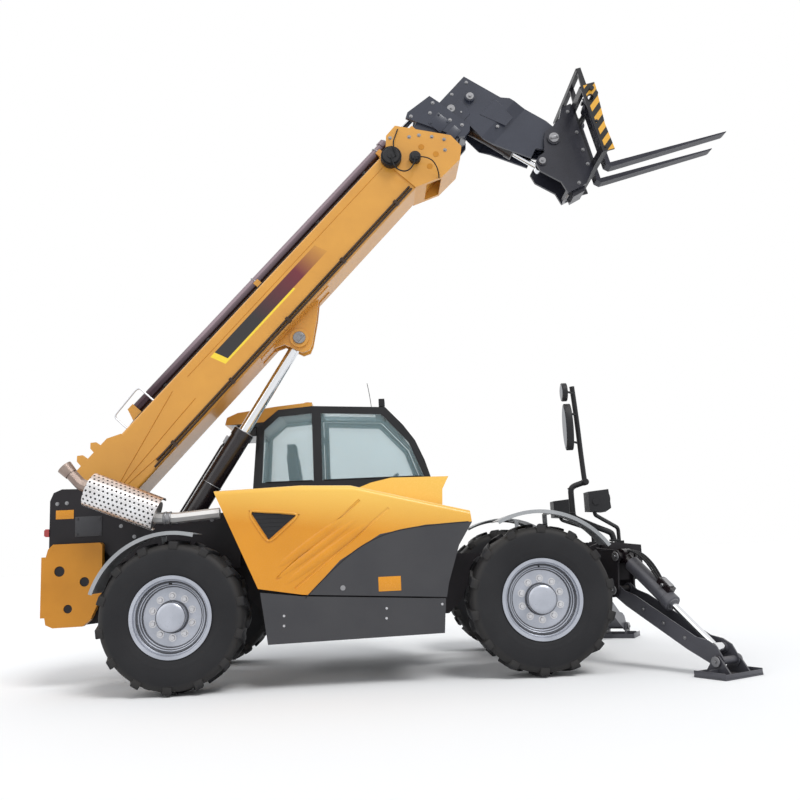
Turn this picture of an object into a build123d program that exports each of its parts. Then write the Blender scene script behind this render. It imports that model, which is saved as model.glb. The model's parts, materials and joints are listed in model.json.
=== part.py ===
"""Telehandler with a three-section boom, pallet forks, front stabilisers and four steered wheels.

Millimetres. X runs forward from the rear axle, Y to the machine's left, Z up from the floor.
The finished assembly is moved along X, so that its origin is the middle of its footprint.
"""
import os
from math import atan2, cos, degrees, hypot, pi, radians, sin

from build123d import *

# Fits between pieces
PIN_FIT = 0.3
SEAT_GAP = 0.3
RUN_GAP = 6.0

# Wheels
TYRE_R = 620.0
TYRE_W = 400.0
TYRE_INNER_Y = 790.0
TREAD_DEPTH = 36.0
LUGS_PER_SIDE = 14
LUG_HALF = 60.0
RIM_R = 305.0
RIM_W = 350.0
RIM_FLANGE_R = 333.0
RIM_WALL = 12.0
DISC_R = 240.0
DISC_OUT = 95.0
DISC_T = 16.0
HUB_CAP_R = 122.0
HUB_CAP_OUT = 172.0


# Axles and steering
WHEELBASE = 3030.0
AXLE_Z = TYRE_R
KINGPIN_Y = 760.0
KINGPIN_R = 70.0
YOKE_GAP = 190.0
YOKE_T = 32.0
YOKE_R = 76.0
AXLE_TUBE_R = 85.0
AXLE_YOKE_Y = 610.0
DIFF_R = 168.0
DIFF_HALF = 190.0
FENDER_W = 380.0
FENDER_T = 7.0
FRONT_FENDER_R = 732.0
FRONT_FENDER_ARC = (35.0, 117.0)
REAR_FENDER_R = 690.0
REAR_FENDER_ARC = (74.0, 162.0)

# Chassis
PLATE_IN = 250.0
PLATE_T = 25.0
FRAME_HALF = 400.0
SKIN_T = 15.0
REAR_X = -1261.0
TOWER_TOP = 1756.0
DECK_Z = 1480.0
NOSE_X = 4061.0
NOSE_REAR_X = 3780.0
NOSE_HALF = 590.0
NOSE_TOP = 1060.0
AXLE_SEAT_Z = 770.0
BELLY_Z = 480.0

# Boom, measured along its own axis from the pivot
BOOM_ANGLE = 46.6
PIVOT_X = -730.6
PIVOT_Z = 1716.2
PIVOT_R = 50.0
BASE_REAR = -113.0
BASE_FRONT = 4416.0
BASE_HALF = 225.0
BASE_BOTTOM = -138.0
BASE_TOP = 344.0
BASE_WALL = 12.0
MID_REAR = 180.0
MID_HALF = 195.0
MID_BOTTOM = -108.0
MID_TOP = 322.0
MID_WALL = 9.0
MID_FRONT = 4920.0
INNER_REAR = 320.0
INNER_HALF = 168.0
INNER_BOTTOM = -82.0
INNER_TOP = 297.0
INNER_WALL = 9.0
INNER_FRONT = 5082.0
PAD_LENGTH = 160.0
TRAVEL = 3500.0
LUG_A = 2253.0
LUG_H = -270.0
LUG_PIN_R = 45.0
LUG_PLATE_IN = 62.0
LUG_PLATE_T = 28.0
TELE_H = 452.0
TELE_R = 66.0
TELE_START = 700.0
TELE_END = 4385.0
TELE_ROD_R = 36.0
TELE_EYE_A = 4790.0
TELE_GLAND = 80.0
TELE_BORE_START = 30.0
TELE_PISTON = 40.0

# Lift cylinder, from its lower pin to the eye of its rod
LIFT_X = -518.0
LIFT_Z = 764.0
LIFT_PIN_R = 45.0
LIFT_BARREL_R = 98.0
LIFT_BARREL_L = 1787.0
LIFT_ROD_R = 55.0
LIFT_ROD_L = 1700.0
LIFT_EYE_R = 56.0

# Carriage hinge in the boom's frame, and the forks' pitch
HINGE_A = 5525.0
HINGE_H = -835.0
HINGE_R = 32.0
FORK_PITCH = 13.7
TILT_BASE_A = 5072.0
TILT_BASE_H = 164.0
TILT_EYE_P = -191.0
TILT_EYE_Q = -207.0
TILT_BARREL_R = 70.0
TILT_BARREL_L = 768.0
TILT_ROD_R = 32.0
TILT_PIN_R = 30.0
TILT_ROD_L = 670.0
TIP_HALF = 132.0
TIP_T = 26.0
HITCH_T = 30.0
FRAME_P = 290.0
FRAME_HALF_W = 550.0
FORK_Y = 190.0
FORK_W = 125.0
FORK_T = 48.0
FORK_L = 1260.0
FORK_FACE_P = 445.0
FORK_TOP_Q = -436.0
SHAFT_Q = 196.0
SHAFT_R = 30.0

# Stabilisers: leg pin, plan angle of the leg's plane and its length to the foot pin
LEG_X = 3850.0
LEG_Y = 620.0
LEG_Z = 640.0
LEG_YAW = 61.0
LEG_REACH = 1050.0
FOOT_PIN_Z = 118.0
LEG_ROOT_HALF = 80.0
LEG_FOOT_HALF = 96.0
LEG_WALL = 12.0
LEG_PIN_R = 30.0
LEG_CYL_R = 60.0
LEG_CYL_Z = 930.0
LEG_EYE_L = 1060.0
LEG_EYE_N = 40.0
LEG_BARREL_R = 50.0
LEG_BARREL_L = 640.0
LEG_ROD_R = 27.0
LEG_ROD_L = 700.0
LEG_EYE_R = 42.0
FOOT_LENGTH = 430.0
FOOT_WIDTH = 300.0
FOOT_T = 16.0

# Hood, skirt and cab
HOOD_IN = 430.0
HOOD_OUT = 1150.0
HOOD_T = 26.0
SKIRT_T = 20.0
CAB_IN = 350.0
CAB_OUT = 1150.0
CAB_WALL = 42.0
CAB_FLOOR = 1040.0
GLASS_T = 6.0
PILLAR_X = 1130.0
DOOR_GAP = 6.0
HINGE_PIN_R = 7.0
HOOD_PIVOT_Y = -395.0
HOOD_PIVOT_Z = 1610.0
HOOD_HINGES = (880.0, 1400.0)
DOOR_PIVOT_X = PILLAR_X + 33
DOOR_PIVOT_Y = CAB_OUT + 14
DOOR_HINGES = (1250.0, 2250.0)


# Frames in which each assembly is drawn
def turned(x, y, z, pitch):
    """Frame at a point with its X axis pitched up by an angle."""
    return Pos(x, y, z) * Rot(0, -pitch, 0)


BOOM = turned(PIVOT_X, 0, PIVOT_Z, BOOM_ANGLE)


def boom_point(a, h):
    """A point on the boom, in the machine's side view."""
    spot = (BOOM * Pos(a, 0, h)).position
    return spot.X, spot.Z


HINGE_X, HINGE_Z = boom_point(HINGE_A, HINGE_H)
CARRIAGE = turned(HINGE_X, 0, HINGE_Z, FORK_PITCH)
LUG_X, LUG_Z = boom_point(LUG_A, LUG_H)
LIFT_ANGLE = degrees(atan2(LUG_Z - LIFT_Z, LUG_X - LIFT_X))
LIFT_LENGTH = hypot(LUG_Z - LIFT_Z, LUG_X - LIFT_X)
LIFT = turned(LIFT_X, 0, LIFT_Z, LIFT_ANGLE)
TILT_X, TILT_Z = boom_point(TILT_BASE_A, TILT_BASE_H)
_eye = (CARRIAGE * Pos(TILT_EYE_P, 0, TILT_EYE_Q)).position
TILT_ANGLE = degrees(atan2(_eye.Z - TILT_Z, _eye.X - TILT_X))
TILT_LENGTH = hypot(_eye.Z - TILT_Z, _eye.X - TILT_X)
TILT = turned(TILT_X, 0, TILT_Z, TILT_ANGLE)

LEG_PLANE = Pos(LEG_X, -LEG_Y, 0) * Rot(0, 0, -LEG_YAW)
LEG_ANGLE = degrees(atan2(FOOT_PIN_Z - LEG_Z, LEG_REACH))
LEG_LENGTH = hypot(LEG_Z - FOOT_PIN_Z, LEG_REACH)
LEG = LEG_PLANE * turned(0, 0, LEG_Z, LEG_ANGLE)
_leg_eye = (turned(0, 0, LEG_Z, LEG_ANGLE) * Pos(LEG_EYE_L, 0, LEG_EYE_N)).position
LEG_CYL_ANGLE = degrees(atan2(_leg_eye.Z - LEG_CYL_Z, _leg_eye.X - LEG_CYL_R))
LEG_CYL_LENGTH = hypot(_leg_eye.Z - LEG_CYL_Z, _leg_eye.X - LEG_CYL_R)
LEG_CYL = LEG_PLANE * turned(LEG_CYL_R, 0, LEG_CYL_Z, LEG_CYL_ANGLE)


# Drawing helpers
def slab(points, y0, y1):
    """Prism of a side-view outline between two widths."""
    wire = Polyline(*[(x, y0, z) for x, z in points], close=True)
    return extrude(make_face(wire), amount=y1 - y0, dir=(0, 1, 0))


def both(points, y0, y1):
    """The same prism on the right and on the left."""
    return slab(points, -y1, -y0) + slab(points, y0, y1)


def block(x0, x1, y0, y1, z0, z1):
    return Pos((x0 + x1) / 2, (y0 + y1) / 2, (z0 + z1) / 2) * Box(x1 - x0, y1 - y0, z1 - z0)


def bar(p, q, r):
    """Round bar from point to point."""
    start, end = Vector(*p), Vector(*q)
    base = (Align.CENTER, Align.CENTER, Align.MIN)
    return Plane(origin=start, z_dir=end - start) * Cylinder(r, (end - start).length, align=base)


def cross(x, z, r, y0, y1):
    """Round bar across the machine."""
    return bar((x, y0, z), (x, y1, z), r)


def bent_tube(points, r, bend, sides=8):
    """Tube of flat-sided section through a few points, with a bend at each corner."""
    path = FilletPolyline(*points, radius=bend)
    return sweep(Plane(origin=path @ 0, z_dir=path % 0) * RegularPolygon(r, sides), path=path)


def mirrored(shape):
    return mirror(shape, about=Plane.XZ)


def box_section(a0, a1, half, bottom, top, wall):
    """Hollow boom section, open at both ends."""
    outside = block(a0, a1, -half, half, bottom, top)
    inside = block(a0 - 1, a1 + 1, wall - half, half - wall, bottom + wall, top - wall)
    corners = outside.edges().filter_by(Axis.X)
    return fillet(corners, 2 * wall) - inside


# Wheels, drawn about the wheel's centre with Y pointing outboard
def tread_lug():
    """One lug of the traction tread: a shoulder block that turns in to the centre line."""
    edge = TYRE_W / 2
    plan = [
        (-LUG_HALF, edge), (0, edge), (LUG_HALF / 5, edge / 2), (LUG_HALF, -edge / 10),
        (0, -edge / 10), (-0.7 * LUG_HALF, edge / 2),
    ]
    root = TYRE_R - 2.1 * TREAD_DEPTH
    tip = (TYRE_R ** 2 - LUG_HALF ** 2) ** 0.5
    footprint = make_face(Polyline(*[(t, y, root) for t, y in plan], close=True))
    return extrude(footprint, amount=tip - root, dir=(0, 0, 1))


def tyre():
    """Carcass in flat sectors, each with one lug, on the right and on the left in turn."""
    base = TYRE_R - TREAD_DEPTH
    half = [
        (TYRE_W / 2 - 38, RIM_R + SEAT_GAP), (TYRE_W / 2 - 4, RIM_R + 115),
        (TYRE_W / 2 - 6, base - 54), (TYRE_W / 2 - 80, base),
    ]
    ring = half + [(-y, r) for y, r in reversed(half)]
    pitch = 180 / LUGS_PER_SIDE
    reach = TYRE_R * sin(radians(pitch / 2)) / cos(radians(pitch / 2))
    profile = make_face(Polyline(*[(-reach, y, r) for y, r in ring], close=True))
    wedge = slab([(0, 0), (-reach, TYRE_R), (reach, TYRE_R)], -TYRE_W, TYRE_W)
    sector = extrude(profile, amount=2 * reach, dir=(1, 0, 0)) & wedge
    right = sector + tread_lug()
    sectors = []
    for i in range(LUGS_PER_SIDE):
        sectors.append(Rot(0, (2 * i + 0.5) * pitch, 0) * right)
        sectors.append(Rot(0, (2 * i + 1.5) * pitch, 0) * mirrored(right))
    return sectors[0].fuse(*sectors[1:])


def rim():
    edge = RIM_W / 2
    inner = RIM_R - RIM_WALL
    profile = [
        (edge + 12, RIM_FLANGE_R), (edge, RIM_FLANGE_R), (edge, RIM_R), (-edge, RIM_R),
        (-edge, RIM_FLANGE_R), (-edge - 12, RIM_FLANGE_R), (-edge - 12, inner),
        (DISC_OUT - DISC_T, inner), (DISC_OUT - DISC_T, 0), (HUB_CAP_OUT, 0),
        (HUB_CAP_OUT, HUB_CAP_R), (DISC_OUT, HUB_CAP_R), (DISC_OUT, DISC_R),
        (DISC_OUT + 48, inner), (edge + 12, inner + 12),
    ]
    return revolve(make_face(Polyline(*[(0, y, r) for y, r in profile], close=True)), Axis.Y)


def fender(radius, arc, front):
    """Thin arched guard with its strap, carried by an arm of the knuckle."""
    inner_y = TYRE_INNER_Y + 10 - KINGPIN_Y
    start, end = arc
    turns = [radians(start + (end - start) * i / 12) for i in range(13)]
    outer = [(radius * cos(t), radius * sin(t)) for t in turns]
    inner = [((radius - FENDER_T) * cos(t), (radius - FENDER_T) * sin(t)) for t in reversed(turns)]
    guard = slab(outer + inner, inner_y, inner_y + FENDER_W)
    side = 1 if front else -1
    x0, x1 = sorted((side * 125, side * 165))
    top = ((radius - FENDER_T) ** 2 - 165 ** 2) ** 0.5
    post = block(x0, x1, -6, 8, -40, top)
    strap = block(x0, x1, -6, inner_y + FENDER_W - 20, top - 9, top)
    seat = slab([(x0, top - 1), (x1, top - 1), (x1, radius), (x0, radius)], inner_y, inner_y + FENDER_W - 20)
    seat = seat & slab([(0, 0)] + outer, inner_y, inner_y + FENDER_W)
    a0, a1 = sorted((0, side * 165))
    arm = block(a0, a1, -28, 8, -40, 40)
    return guard + seat + strap + post + arm


def knuckle(radius, arc, front):
    """Steering knuckle about its kingpin at the origin, Y pointing outboard."""
    disc_back = TYRE_INNER_Y + TYRE_W / 2 + DISC_OUT - DISC_T - KINGPIN_Y
    post = bar((0, 0, SEAT_GAP - YOKE_GAP / 2), (0, 0, YOKE_GAP / 2 - SEAT_GAP), KINGPIN_R)
    neck = bar((0, -40, 0), (0, YOKE_R + 10, 0), YOKE_GAP / 2 - 12)
    flange = bar((0, YOKE_R + 10, 0), (0, YOKE_R + 70, 0), 150)
    spindle = bar((0, YOKE_R + 60, 0), (0, disc_back - SEAT_GAP, 0), 108)
    return post + neck + flange + spindle + fender(radius, arc, front)


def axle():
    """Axle housing with its differential, tubes and kingpin yokes, centred on the machine."""
    half = [
        (0, DIFF_R), (60, DIFF_R), (DIFF_HALF, AXLE_TUBE_R + 25), (DIFF_HALF + 40, AXLE_TUBE_R),
        (AXLE_YOKE_Y, AXLE_TUBE_R), (AXLE_YOKE_Y, 0), (0, 0),
    ]
    arm = revolve(make_face(Polyline(*[(0, y, r) for y, r in half], close=True)), Axis.Y)
    out = YOKE_GAP / 2 + YOKE_T
    web = block(-YOKE_R, YOKE_R, AXLE_YOKE_Y - 20, AXLE_YOKE_Y + 30, -out, out)
    fork = block(-YOKE_R, YOKE_R, AXLE_YOKE_Y, KINGPIN_Y, -out, out)
    fork += bar((0, KINGPIN_Y, -out), (0, KINGPIN_Y, out), YOKE_R)
    mouth = block(-2 * YOKE_R, 2 * YOKE_R, AXLE_YOKE_Y + 30, KINGPIN_Y + 2 * YOKE_R, -YOKE_GAP / 2, YOKE_GAP / 2)
    cap = bar((0, KINGPIN_Y, YOKE_GAP / 2), (0, KINGPIN_Y, out + 22), 46)
    cap += bar((0, KINGPIN_Y, -out - 22), (0, KINGPIN_Y, -YOKE_GAP / 2), 46)
    seat = block(-95, 95, PLATE_IN - 20, PLATE_IN + PLATE_T + 20, 0, AXLE_SEAT_Z - AXLE_Z)
    side = arm + web + (fork - mouth) + cap + seat
    steering = bar((-150, -260, 0), (-150, 260, 0), 38) + block(-150, -80, -120, 120, -30, 30)
    return side + mirrored(side) + steering


# Chassis
def frame_outline():
    return [
        (REAR_X, 640), (REAR_X, TOWER_TOP - 105), (REAR_X + 31, TOWER_TOP - 31),
        (REAR_X + 105, TOWER_TOP), (-900, TOWER_TOP), (PIVOT_X - 60, PIVOT_Z + 80),
        (PIVOT_X + 40, PIVOT_Z + 80), (-380, DECK_Z + 20), (-300, DECK_Z), (350, DECK_Z),
        (800, 1250), (1250, 1080), (3500, 960), (NOSE_REAR_X, NOSE_TOP), (NOSE_X, NOSE_TOP - 40),
        (NOSE_X, 720), (3800, 560), (3560, 620), (3440, AXLE_SEAT_Z), (2620, AXLE_SEAT_Z),
        (2330, BELLY_Z), (720, BELLY_Z), (440, AXLE_SEAT_Z), (-420, AXLE_SEAT_Z), (-640, 560),
        (-1160, 520),
    ]


def chassis_frame():
    """Two long side plates with the rear tower, cross tubes, belly plate and front nose."""
    plates = both(frame_outline(), PLATE_IN, PLATE_IN + PLATE_T)
    tower = [
        (REAR_X, 1180), (REAR_X, TOWER_TOP - 105), (REAR_X + 31, TOWER_TOP - 31),
        (REAR_X + 105, TOWER_TOP), (-900, TOWER_TOP - 6), (-380, DECK_Z + 20), (-300, DECK_Z),
        (350, DECK_Z), (455, 1430), (455, 980), (-560, 980), (-760, 1180),
    ]
    skins = both(tower, FRAME_HALF - SKIN_T, FRAME_HALF)
    frame = plates + skins
    web_in, web_out = PLATE_IN + PLATE_T - 1, FRAME_HALF - SKIN_T + 1
    for x, z0, z1 in ((REAR_X + 8, 1190, TOWER_TOP - 110), (-430, 990, 1500), (330, 1000, 1470)):
        frame += block(x, x + 14, web_in, web_out, z0, z1) + block(x, x + 14, -web_out, -web_in, z0, z1)
    deck = block(-290, 345, web_in, web_out, DECK_Z - 14, DECK_Z)
    frame += deck + mirrored(deck)
    frame += block(REAR_X, REAR_X + SKIN_T, -PLATE_IN - 1, PLATE_IN + 1, 700, 1500)
    frame += block(760, 2290, -PLATE_IN - 1, PLATE_IN + 1, BELLY_Z, BELLY_Z + 14)
    for x, z, r in ((-960, 700, 60), (330, 840, 55), (1500, 720, 70), (2350, 760, 60), (3560, 800, 60)):
        frame += cross(x, z, r, -PLATE_IN - 1, PLATE_IN + 1)
    boss = PLATE_IN + PLATE_T + 26
    for x, z, r in ((PIVOT_X, PIVOT_Z, 82), (LIFT_X, LIFT_Z, 76)):
        for y in (-boss, PLATE_IN + PLATE_T - 1):
            frame += cross(x, z, r, y, y + 27)
    nose = block(NOSE_REAR_X, NOSE_X, -NOSE_HALF, NOSE_HALF, 720, NOSE_TOP + 20)
    slope = slab([(NOSE_REAR_X - 9, NOSE_TOP), (NOSE_X + 9, NOSE_TOP - 40), (NOSE_X + 9, 1300),
                  (NOSE_REAR_X - 9, 1300)], -NOSE_HALF - 9, NOSE_HALF + 9)
    hollow = block(NOSE_REAR_X - 9, NOSE_X - 20, -PLATE_IN, PLATE_IN, 700, NOSE_TOP + 60)
    wells = block(NOSE_REAR_X + 14, NOSE_X - 20, PLATE_IN + PLATE_T, NOSE_HALF - 16, 700, NOSE_TOP - 60)
    frame += nose - slope - hollow - wells - mirrored(wells)
    frame += stabiliser_bracket() + mirrored(stabiliser_bracket())
    for x in (900, 2040):
        frame += block(x, x + 90, PLATE_IN + PLATE_T - 1, 1060, 1000, CAB_FLOOR - SEAT_GAP)
    frame -= cross(PIVOT_X, PIVOT_Z, PIVOT_R + PIN_FIT, -boss - 5, boss + 5)
    frame -= cross(LIFT_X, LIFT_Z, LIFT_PIN_R + PIN_FIT, -boss - 5, boss + 5)
    return frame


def stabiliser_bracket():
    """Two cheeks on the nose that hold the leg's pin and the cylinder's pin."""
    outline = [
        (-190, 560), (20, LEG_Z - 62), (62, LEG_Z - 10), (56, LEG_Z + 34), (74, LEG_CYL_Z - 60),
        (LEG_CYL_R + 52, LEG_CYL_Z), (LEG_CYL_R + 20, LEG_CYL_Z + 50), (-190, 1010),
    ]
    gap = LEG_ROOT_HALF + RUN_GAP
    cheek = slab(outline, gap, gap + 18)
    cheeks = cheek + mirrored(cheek)
    pins = cross(0, LEG_Z, LEG_PIN_R, -gap - 24, gap + 24)
    pins += cross(LEG_CYL_R, LEG_CYL_Z, LEG_PIN_R, -gap - 24, gap + 24)
    return LEG_PLANE * (cheeks + pins)


def chassis_pins():
    """Boom pivot pin and the lift cylinder's lower pin."""
    reach = PLATE_IN + PLATE_T + 40
    pins = cross(PIVOT_X, PIVOT_Z, PIVOT_R, -reach, reach)
    pins += cross(PIVOT_X, PIVOT_Z, PIVOT_R + 22, -reach - 10, -reach)
    pins += cross(PIVOT_X, PIVOT_Z, PIVOT_R + 22, reach, reach + 10)
    pins += cross(LIFT_X, LIFT_Z, LIFT_PIN_R, -reach, reach)
    return pins


def counterweight():
    """Rear ballast in two cheeks and a cross block, with round pockets and the tow jaw."""
    front, rear, half = -764.0, REAR_X + 8, 470.0
    outline = [
        (rear, 560), (rear - 14, 640), (rear - 14, 1130), (rear + 8, 1216), (rear + 52, 1259),
        (front - 20, 1259), (front, 1236), (front, 800), (-860, 590), (-930, 534), (-1190, 530),
    ]
    cheek = slab(outline, FRAME_HALF + 0.5, half)
    for x, z, r in ((-1140, 1020, 46), (-918, 920, 42), (-1060, 690, 38)):
        cheek -= cross(x, z, r, FRAME_HALF - 9, half + 9)
    tail = block(REAR_X - 40, REAR_X, -half, half, 620, 1150)
    jaw = block(REAR_X - 90, REAR_X - 30, -90, 90, 760, 900) - block(REAR_X - 91, REAR_X - 30, -70, 70, 800, 860)
    jaw -= bar((REAR_X - 62, 0, 700), (REAR_X - 62, 0, 960), 16)
    return cheek + mirrored(cheek) + tail + jaw


def tail_lamps():
    """Lamp cluster on a stalk at each rear corner."""
    lamp = block(REAR_X - 34, REAR_X, 300, 410, 1330, 1400)
    lamp += block(REAR_X - 46, REAR_X - 33, 308, 402, 1338, 1392)
    return lamp + mirrored(lamp)


def engine_block():
    return block(980, 2080, -1040, -470, 760, 1400)


def engine_bearers():
    """Cross rails under the engine, from the frame out to the skirt."""
    rails = None
    for x in (1000, 1960):
        rail = block(x, x + 90, -1060, -PLATE_IN - PLATE_T, 690, 760)
        rail += block(x, x + 90, -1060, -1040, 560, 691)
        rail += block(x, x + 90, -HOOD_OUT + SKIRT_T, -1059, 560, 620)
        rails = rail if rails is None else rails + rail
    return rails


def hood_rail():
    """Rail along the hood's inner edge, on plates that stand on the frame, with the hinge tube."""
    y0 = -HOOD_IN + SEAT_GAP
    top = [(600, 1600), (1486, 1585), (2420, 1350), (2420, 1310), (1486, 1545), (600, 1560)]
    rail = slab(top, y0, y0 + 20)
    for x, z0, z1 in ((820, 1150, 1580), (1480, 990, 1560), (2240, 960, 1380)):
        rail += block(x, x + 12, y0, -PLATE_IN - PLATE_T, z0, z1)
    for x in HOOD_HINGES:
        for side in (x - 28, x + 20):
            rail += block(side, side + 8, y0 + 19, HOOD_PIVOT_Y + 12, HOOD_PIVOT_Z - 50, HOOD_PIVOT_Z + 12)
        rail += bar((x - 28, HOOD_PIVOT_Y, HOOD_PIVOT_Z), (x + 28, HOOD_PIVOT_Y, HOOD_PIVOT_Z), HINGE_PIN_R)
    return rail


def side_skirt():
    """Flat panel under the hood with a return flange at its lower edge."""
    outline = [(722, 780), (1071, 735), (2238, 664), (2215, 390), (779, 365)]
    face = slab(outline, -HOOD_OUT, -HOOD_OUT + SKIRT_T)
    lip = slab([(779, 365), (2215, 390), (2215, 410), (779, 385)], -HOOD_OUT, -HOOD_OUT + 90)
    return face + lip


def fuel_tank():
    """Tank and two steps under the cab."""
    outline = [(760, 990), (720, 900), (860, 460), (1500, 430), (1500, 990)]
    tank = slab(outline, PLATE_IN + PLATE_T + 0.5, 1060)
    tank = fillet(tank.edges().filter_by(Axis.Y), 40)
    return tank


def cab_steps():
    """Battery box with two treads below the door."""
    box = block(1506, 2200, PLATE_IN + PLATE_T + 0.5, 900, 520, CAB_FLOOR - 42)
    for z in (430, 730):
        tread = block(1600, 2080, 890, 1150, z, z + 24) - block(1640, 2040, 930, 1120, z - 1, z + 25)
        for x in (1700, 1840, 1980):
            tread += block(x - 9, x + 9, 925, 1125, z, z + 24)
        box += tread
    for x in (1600, 2062):
        box += block(x, x + 18, 890, 912, 430, 754)
    return box


def hood_outline():
    return [
        (348, 1625), (1069, 1643), (1486, 1625), (2478, 1374), (2488, 1274), (2370, 1090),
        (2270, 790), (2247, 676), (1071, 748), (706, 811),
    ]


def hood_split():
    """Line between the upper cowl and the dark lower panel."""
    return [(2560, 1280), (2100, 1270), (1720, 1210), (1380, 1010), (1071, 700)]


def hood_shell():
    """Whole cowl: outer side, top sloping to the hinge, and a closed front end."""
    outer = slab(hood_outline(), -HOOD_OUT, -HOOD_IN)
    t = HOOD_T
    inner = [
        (200, 1625 - t), (1069, 1643 - t), (1486, 1625 - t), (2478 - t, 1374 - t), (2488 - t, 1274),
        (2370 - t, 1090), (2270 - t, 790), (2247 - t, 500), (200, 500),
    ]
    return outer - slab(inner, -HOOD_OUT + t, -HOOD_IN + 1)


def hood():
    split = hood_split()
    upper = split + [(1071, 600), (200, 600), (200, 1800), (2700, 1800), (2700, 1280)]
    cowl = hood_shell() & slab(upper, -HOOD_OUT - 40, -HOOD_IN)
    bump = [(1500, 1610), (1660, 1668), (1840, 1704), (2347, 1696), (2288, 1586), (2280, 1430), (2200, 1420)]
    cowl += slab(bump, -760, -HOOD_IN) - slab(
        [(x, z - HOOD_T) for x, z in bump[:-2]] + [(2250, 1300), (1500, 1300)], -740, -HOOD_IN + 1)
    recess = [(635, 1452), (1066, 1402), (806, 1182)]
    cowl -= slab(recess, -HOOD_OUT - 1, -HOOD_OUT + 9)
    for start, end in (((860, 880), (1560, 1500)), ((1010, 800), (1800, 1420))):
        cowl -= bar((start[0], -HOOD_OUT - 9, start[1]), (end[0], -HOOD_OUT - 9, end[1]), 16)
    for x in HOOD_HINGES:
        cowl += block(x - 15, x + 15, -HOOD_IN - 2, HOOD_PIVOT_Y, HOOD_PIVOT_Z - 5, HOOD_PIVOT_Z + 9)
        cowl += bar((x - 17, HOOD_PIVOT_Y, HOOD_PIVOT_Z), (x + 17, HOOD_PIVOT_Y, HOOD_PIVOT_Z), 2 * HINGE_PIN_R)
        cowl -= bar((x - 18, HOOD_PIVOT_Y, HOOD_PIVOT_Z), (x + 18, HOOD_PIVOT_Y, HOOD_PIVOT_Z), HINGE_PIN_R + PIN_FIT)
    return cowl


def hood_lower():
    split = hood_split()
    lower = split + [(1071, 600), (2700, 600), (2700, 1280)]
    panel = hood_shell() & slab(lower, -HOOD_OUT - 40, -HOOD_IN)
    return panel


def cab_outline():
    return [
        (475, 1750), (526, 2357), (742, 2534), (1089, 2561), (1835, 2520), (2010, 2330),
        (2126, 2167), (2215, 1960), (2278, 1753), (2300, 1420), (2250, CAB_FLOOR), (790, CAB_FLOOR),
        (560, 1400),
    ]


def cab_windows():
    """Window openings in side view: rear quarter, front quarter (the door's on the left)."""
    rear = [(565, 1795), (600, 2330), (750, 2462), (1085, 2486), (1085, 1795)]
    front = [(1175, 1795), (1175, 2486), (1790, 2448), (2060, 2148), (2200, 1795)]
    return rear, front


def cab_space():
    """Hollow inside of the cab."""
    t = CAB_WALL
    points = [
        (475 + t, 1750), (526 + t, 2357 - t / 2), (742 + t / 2, 2534 - t), (1089, 2561 - t),
        (1835 - t / 2, 2520 - t), (2010 - t, 2330 - t / 2), (2126 - t, 2167), (2215 - t, 1960),
        (2278 - t, 1753), (2300 - t, 1420), (2250 - t, CAB_FLOOR + t), (790 + t, CAB_FLOOR + t),
        (560 + t, 1400),
    ]
    return slab(points, CAB_IN + t, CAB_OUT - t)


def door_outline():
    return [
        (PILLAR_X + 30, CAB_FLOOR + 50), (PILLAR_X + 30, 2505), (1805, 2468), (2092, 2150),
        (2236, 1753), (2256, 1420), (2214, CAB_FLOOR + 50),
    ]


def cab_shell():
    """Cab frame: floor, roof and pillars, with every window and the door cut out."""
    shell = slab(cab_outline(), CAB_IN, CAB_OUT)
    shell -= cab_space()
    rear, front = cab_windows()
    shell -= slab(rear, CAB_IN - 1, CAB_IN + CAB_WALL + 1)
    shell -= slab(front, CAB_IN - 1, CAB_IN + CAB_WALL + 1)
    shell -= slab(rear, CAB_OUT - CAB_WALL - 1, CAB_OUT + 1)
    shell -= slab(door_outline(), CAB_OUT - CAB_WALL - 1, CAB_OUT + 1)
    shell -= windscreen_opening()
    shell -= rear_opening()
    shell -= roof_opening()
    for z in DOOR_HINGES:
        shell += block(DOOR_PIVOT_X - 50, DOOR_PIVOT_X, CAB_OUT - 1, DOOR_PIVOT_Y, z, z + 40)
        shell += bar((DOOR_PIVOT_X, DOOR_PIVOT_Y, z), (DOOR_PIVOT_X, DOOR_PIVOT_Y, z + 40), 12)
        shell += bar((DOOR_PIVOT_X, DOOR_PIVOT_Y, z), (DOOR_PIVOT_X, DOOR_PIVOT_Y, z + 84), HINGE_PIN_R)
    return shell


def windscreen_opening():
    cut = [(1858, 2492), (1790, 2440), (1960, 2300), (2100, 2000), (2200, 1480), (2400, 1480), (2400, 2492)]
    return slab(cut, CAB_IN + 60, CAB_OUT - 60)


def rear_opening():
    return slab([(400, 1795), (400, 2300), (640, 2300), (640, 1795)], CAB_IN + 60, CAB_OUT - 60)


def roof_opening():
    return block(1190, 1740, CAB_IN + 110, CAB_OUT - 110, 2440, 2620)


def pane(points, y0):
    return slab(points, y0, y0 + GLASS_T)


def cab_glass():
    """Fixed panes: right side, left rear, windscreen, rear and roof."""
    rear, front = cab_windows()
    inset_y = CAB_WALL / 2
    glass = pane(rear, CAB_IN + inset_y) + pane(front, CAB_IN + inset_y)
    glass += pane(rear, CAB_OUT - inset_y - GLASS_T)
    band = slab([(475 + 18, 1700), (526 + 18, 2357), (526 + 24, 2357), (475 + 24, 1700)], 0, 2000)
    glass += band & rear_opening()
    outer = [(1835, 2520), (2010, 2330), (2126, 2167), (2215, 1960), (2278, 1753), (2300, 1420)]
    front_shell = [(x - 14, z - 8) for x, z in outer] + [(x - 20, z - 12) for x, z in reversed(outer)]
    glass += slab(front_shell, 0, 2000) & windscreen_opening()
    glass += block(1190, 1740, CAB_IN + 110, CAB_OUT - 110, 2502, 2508)
    return glass


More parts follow.
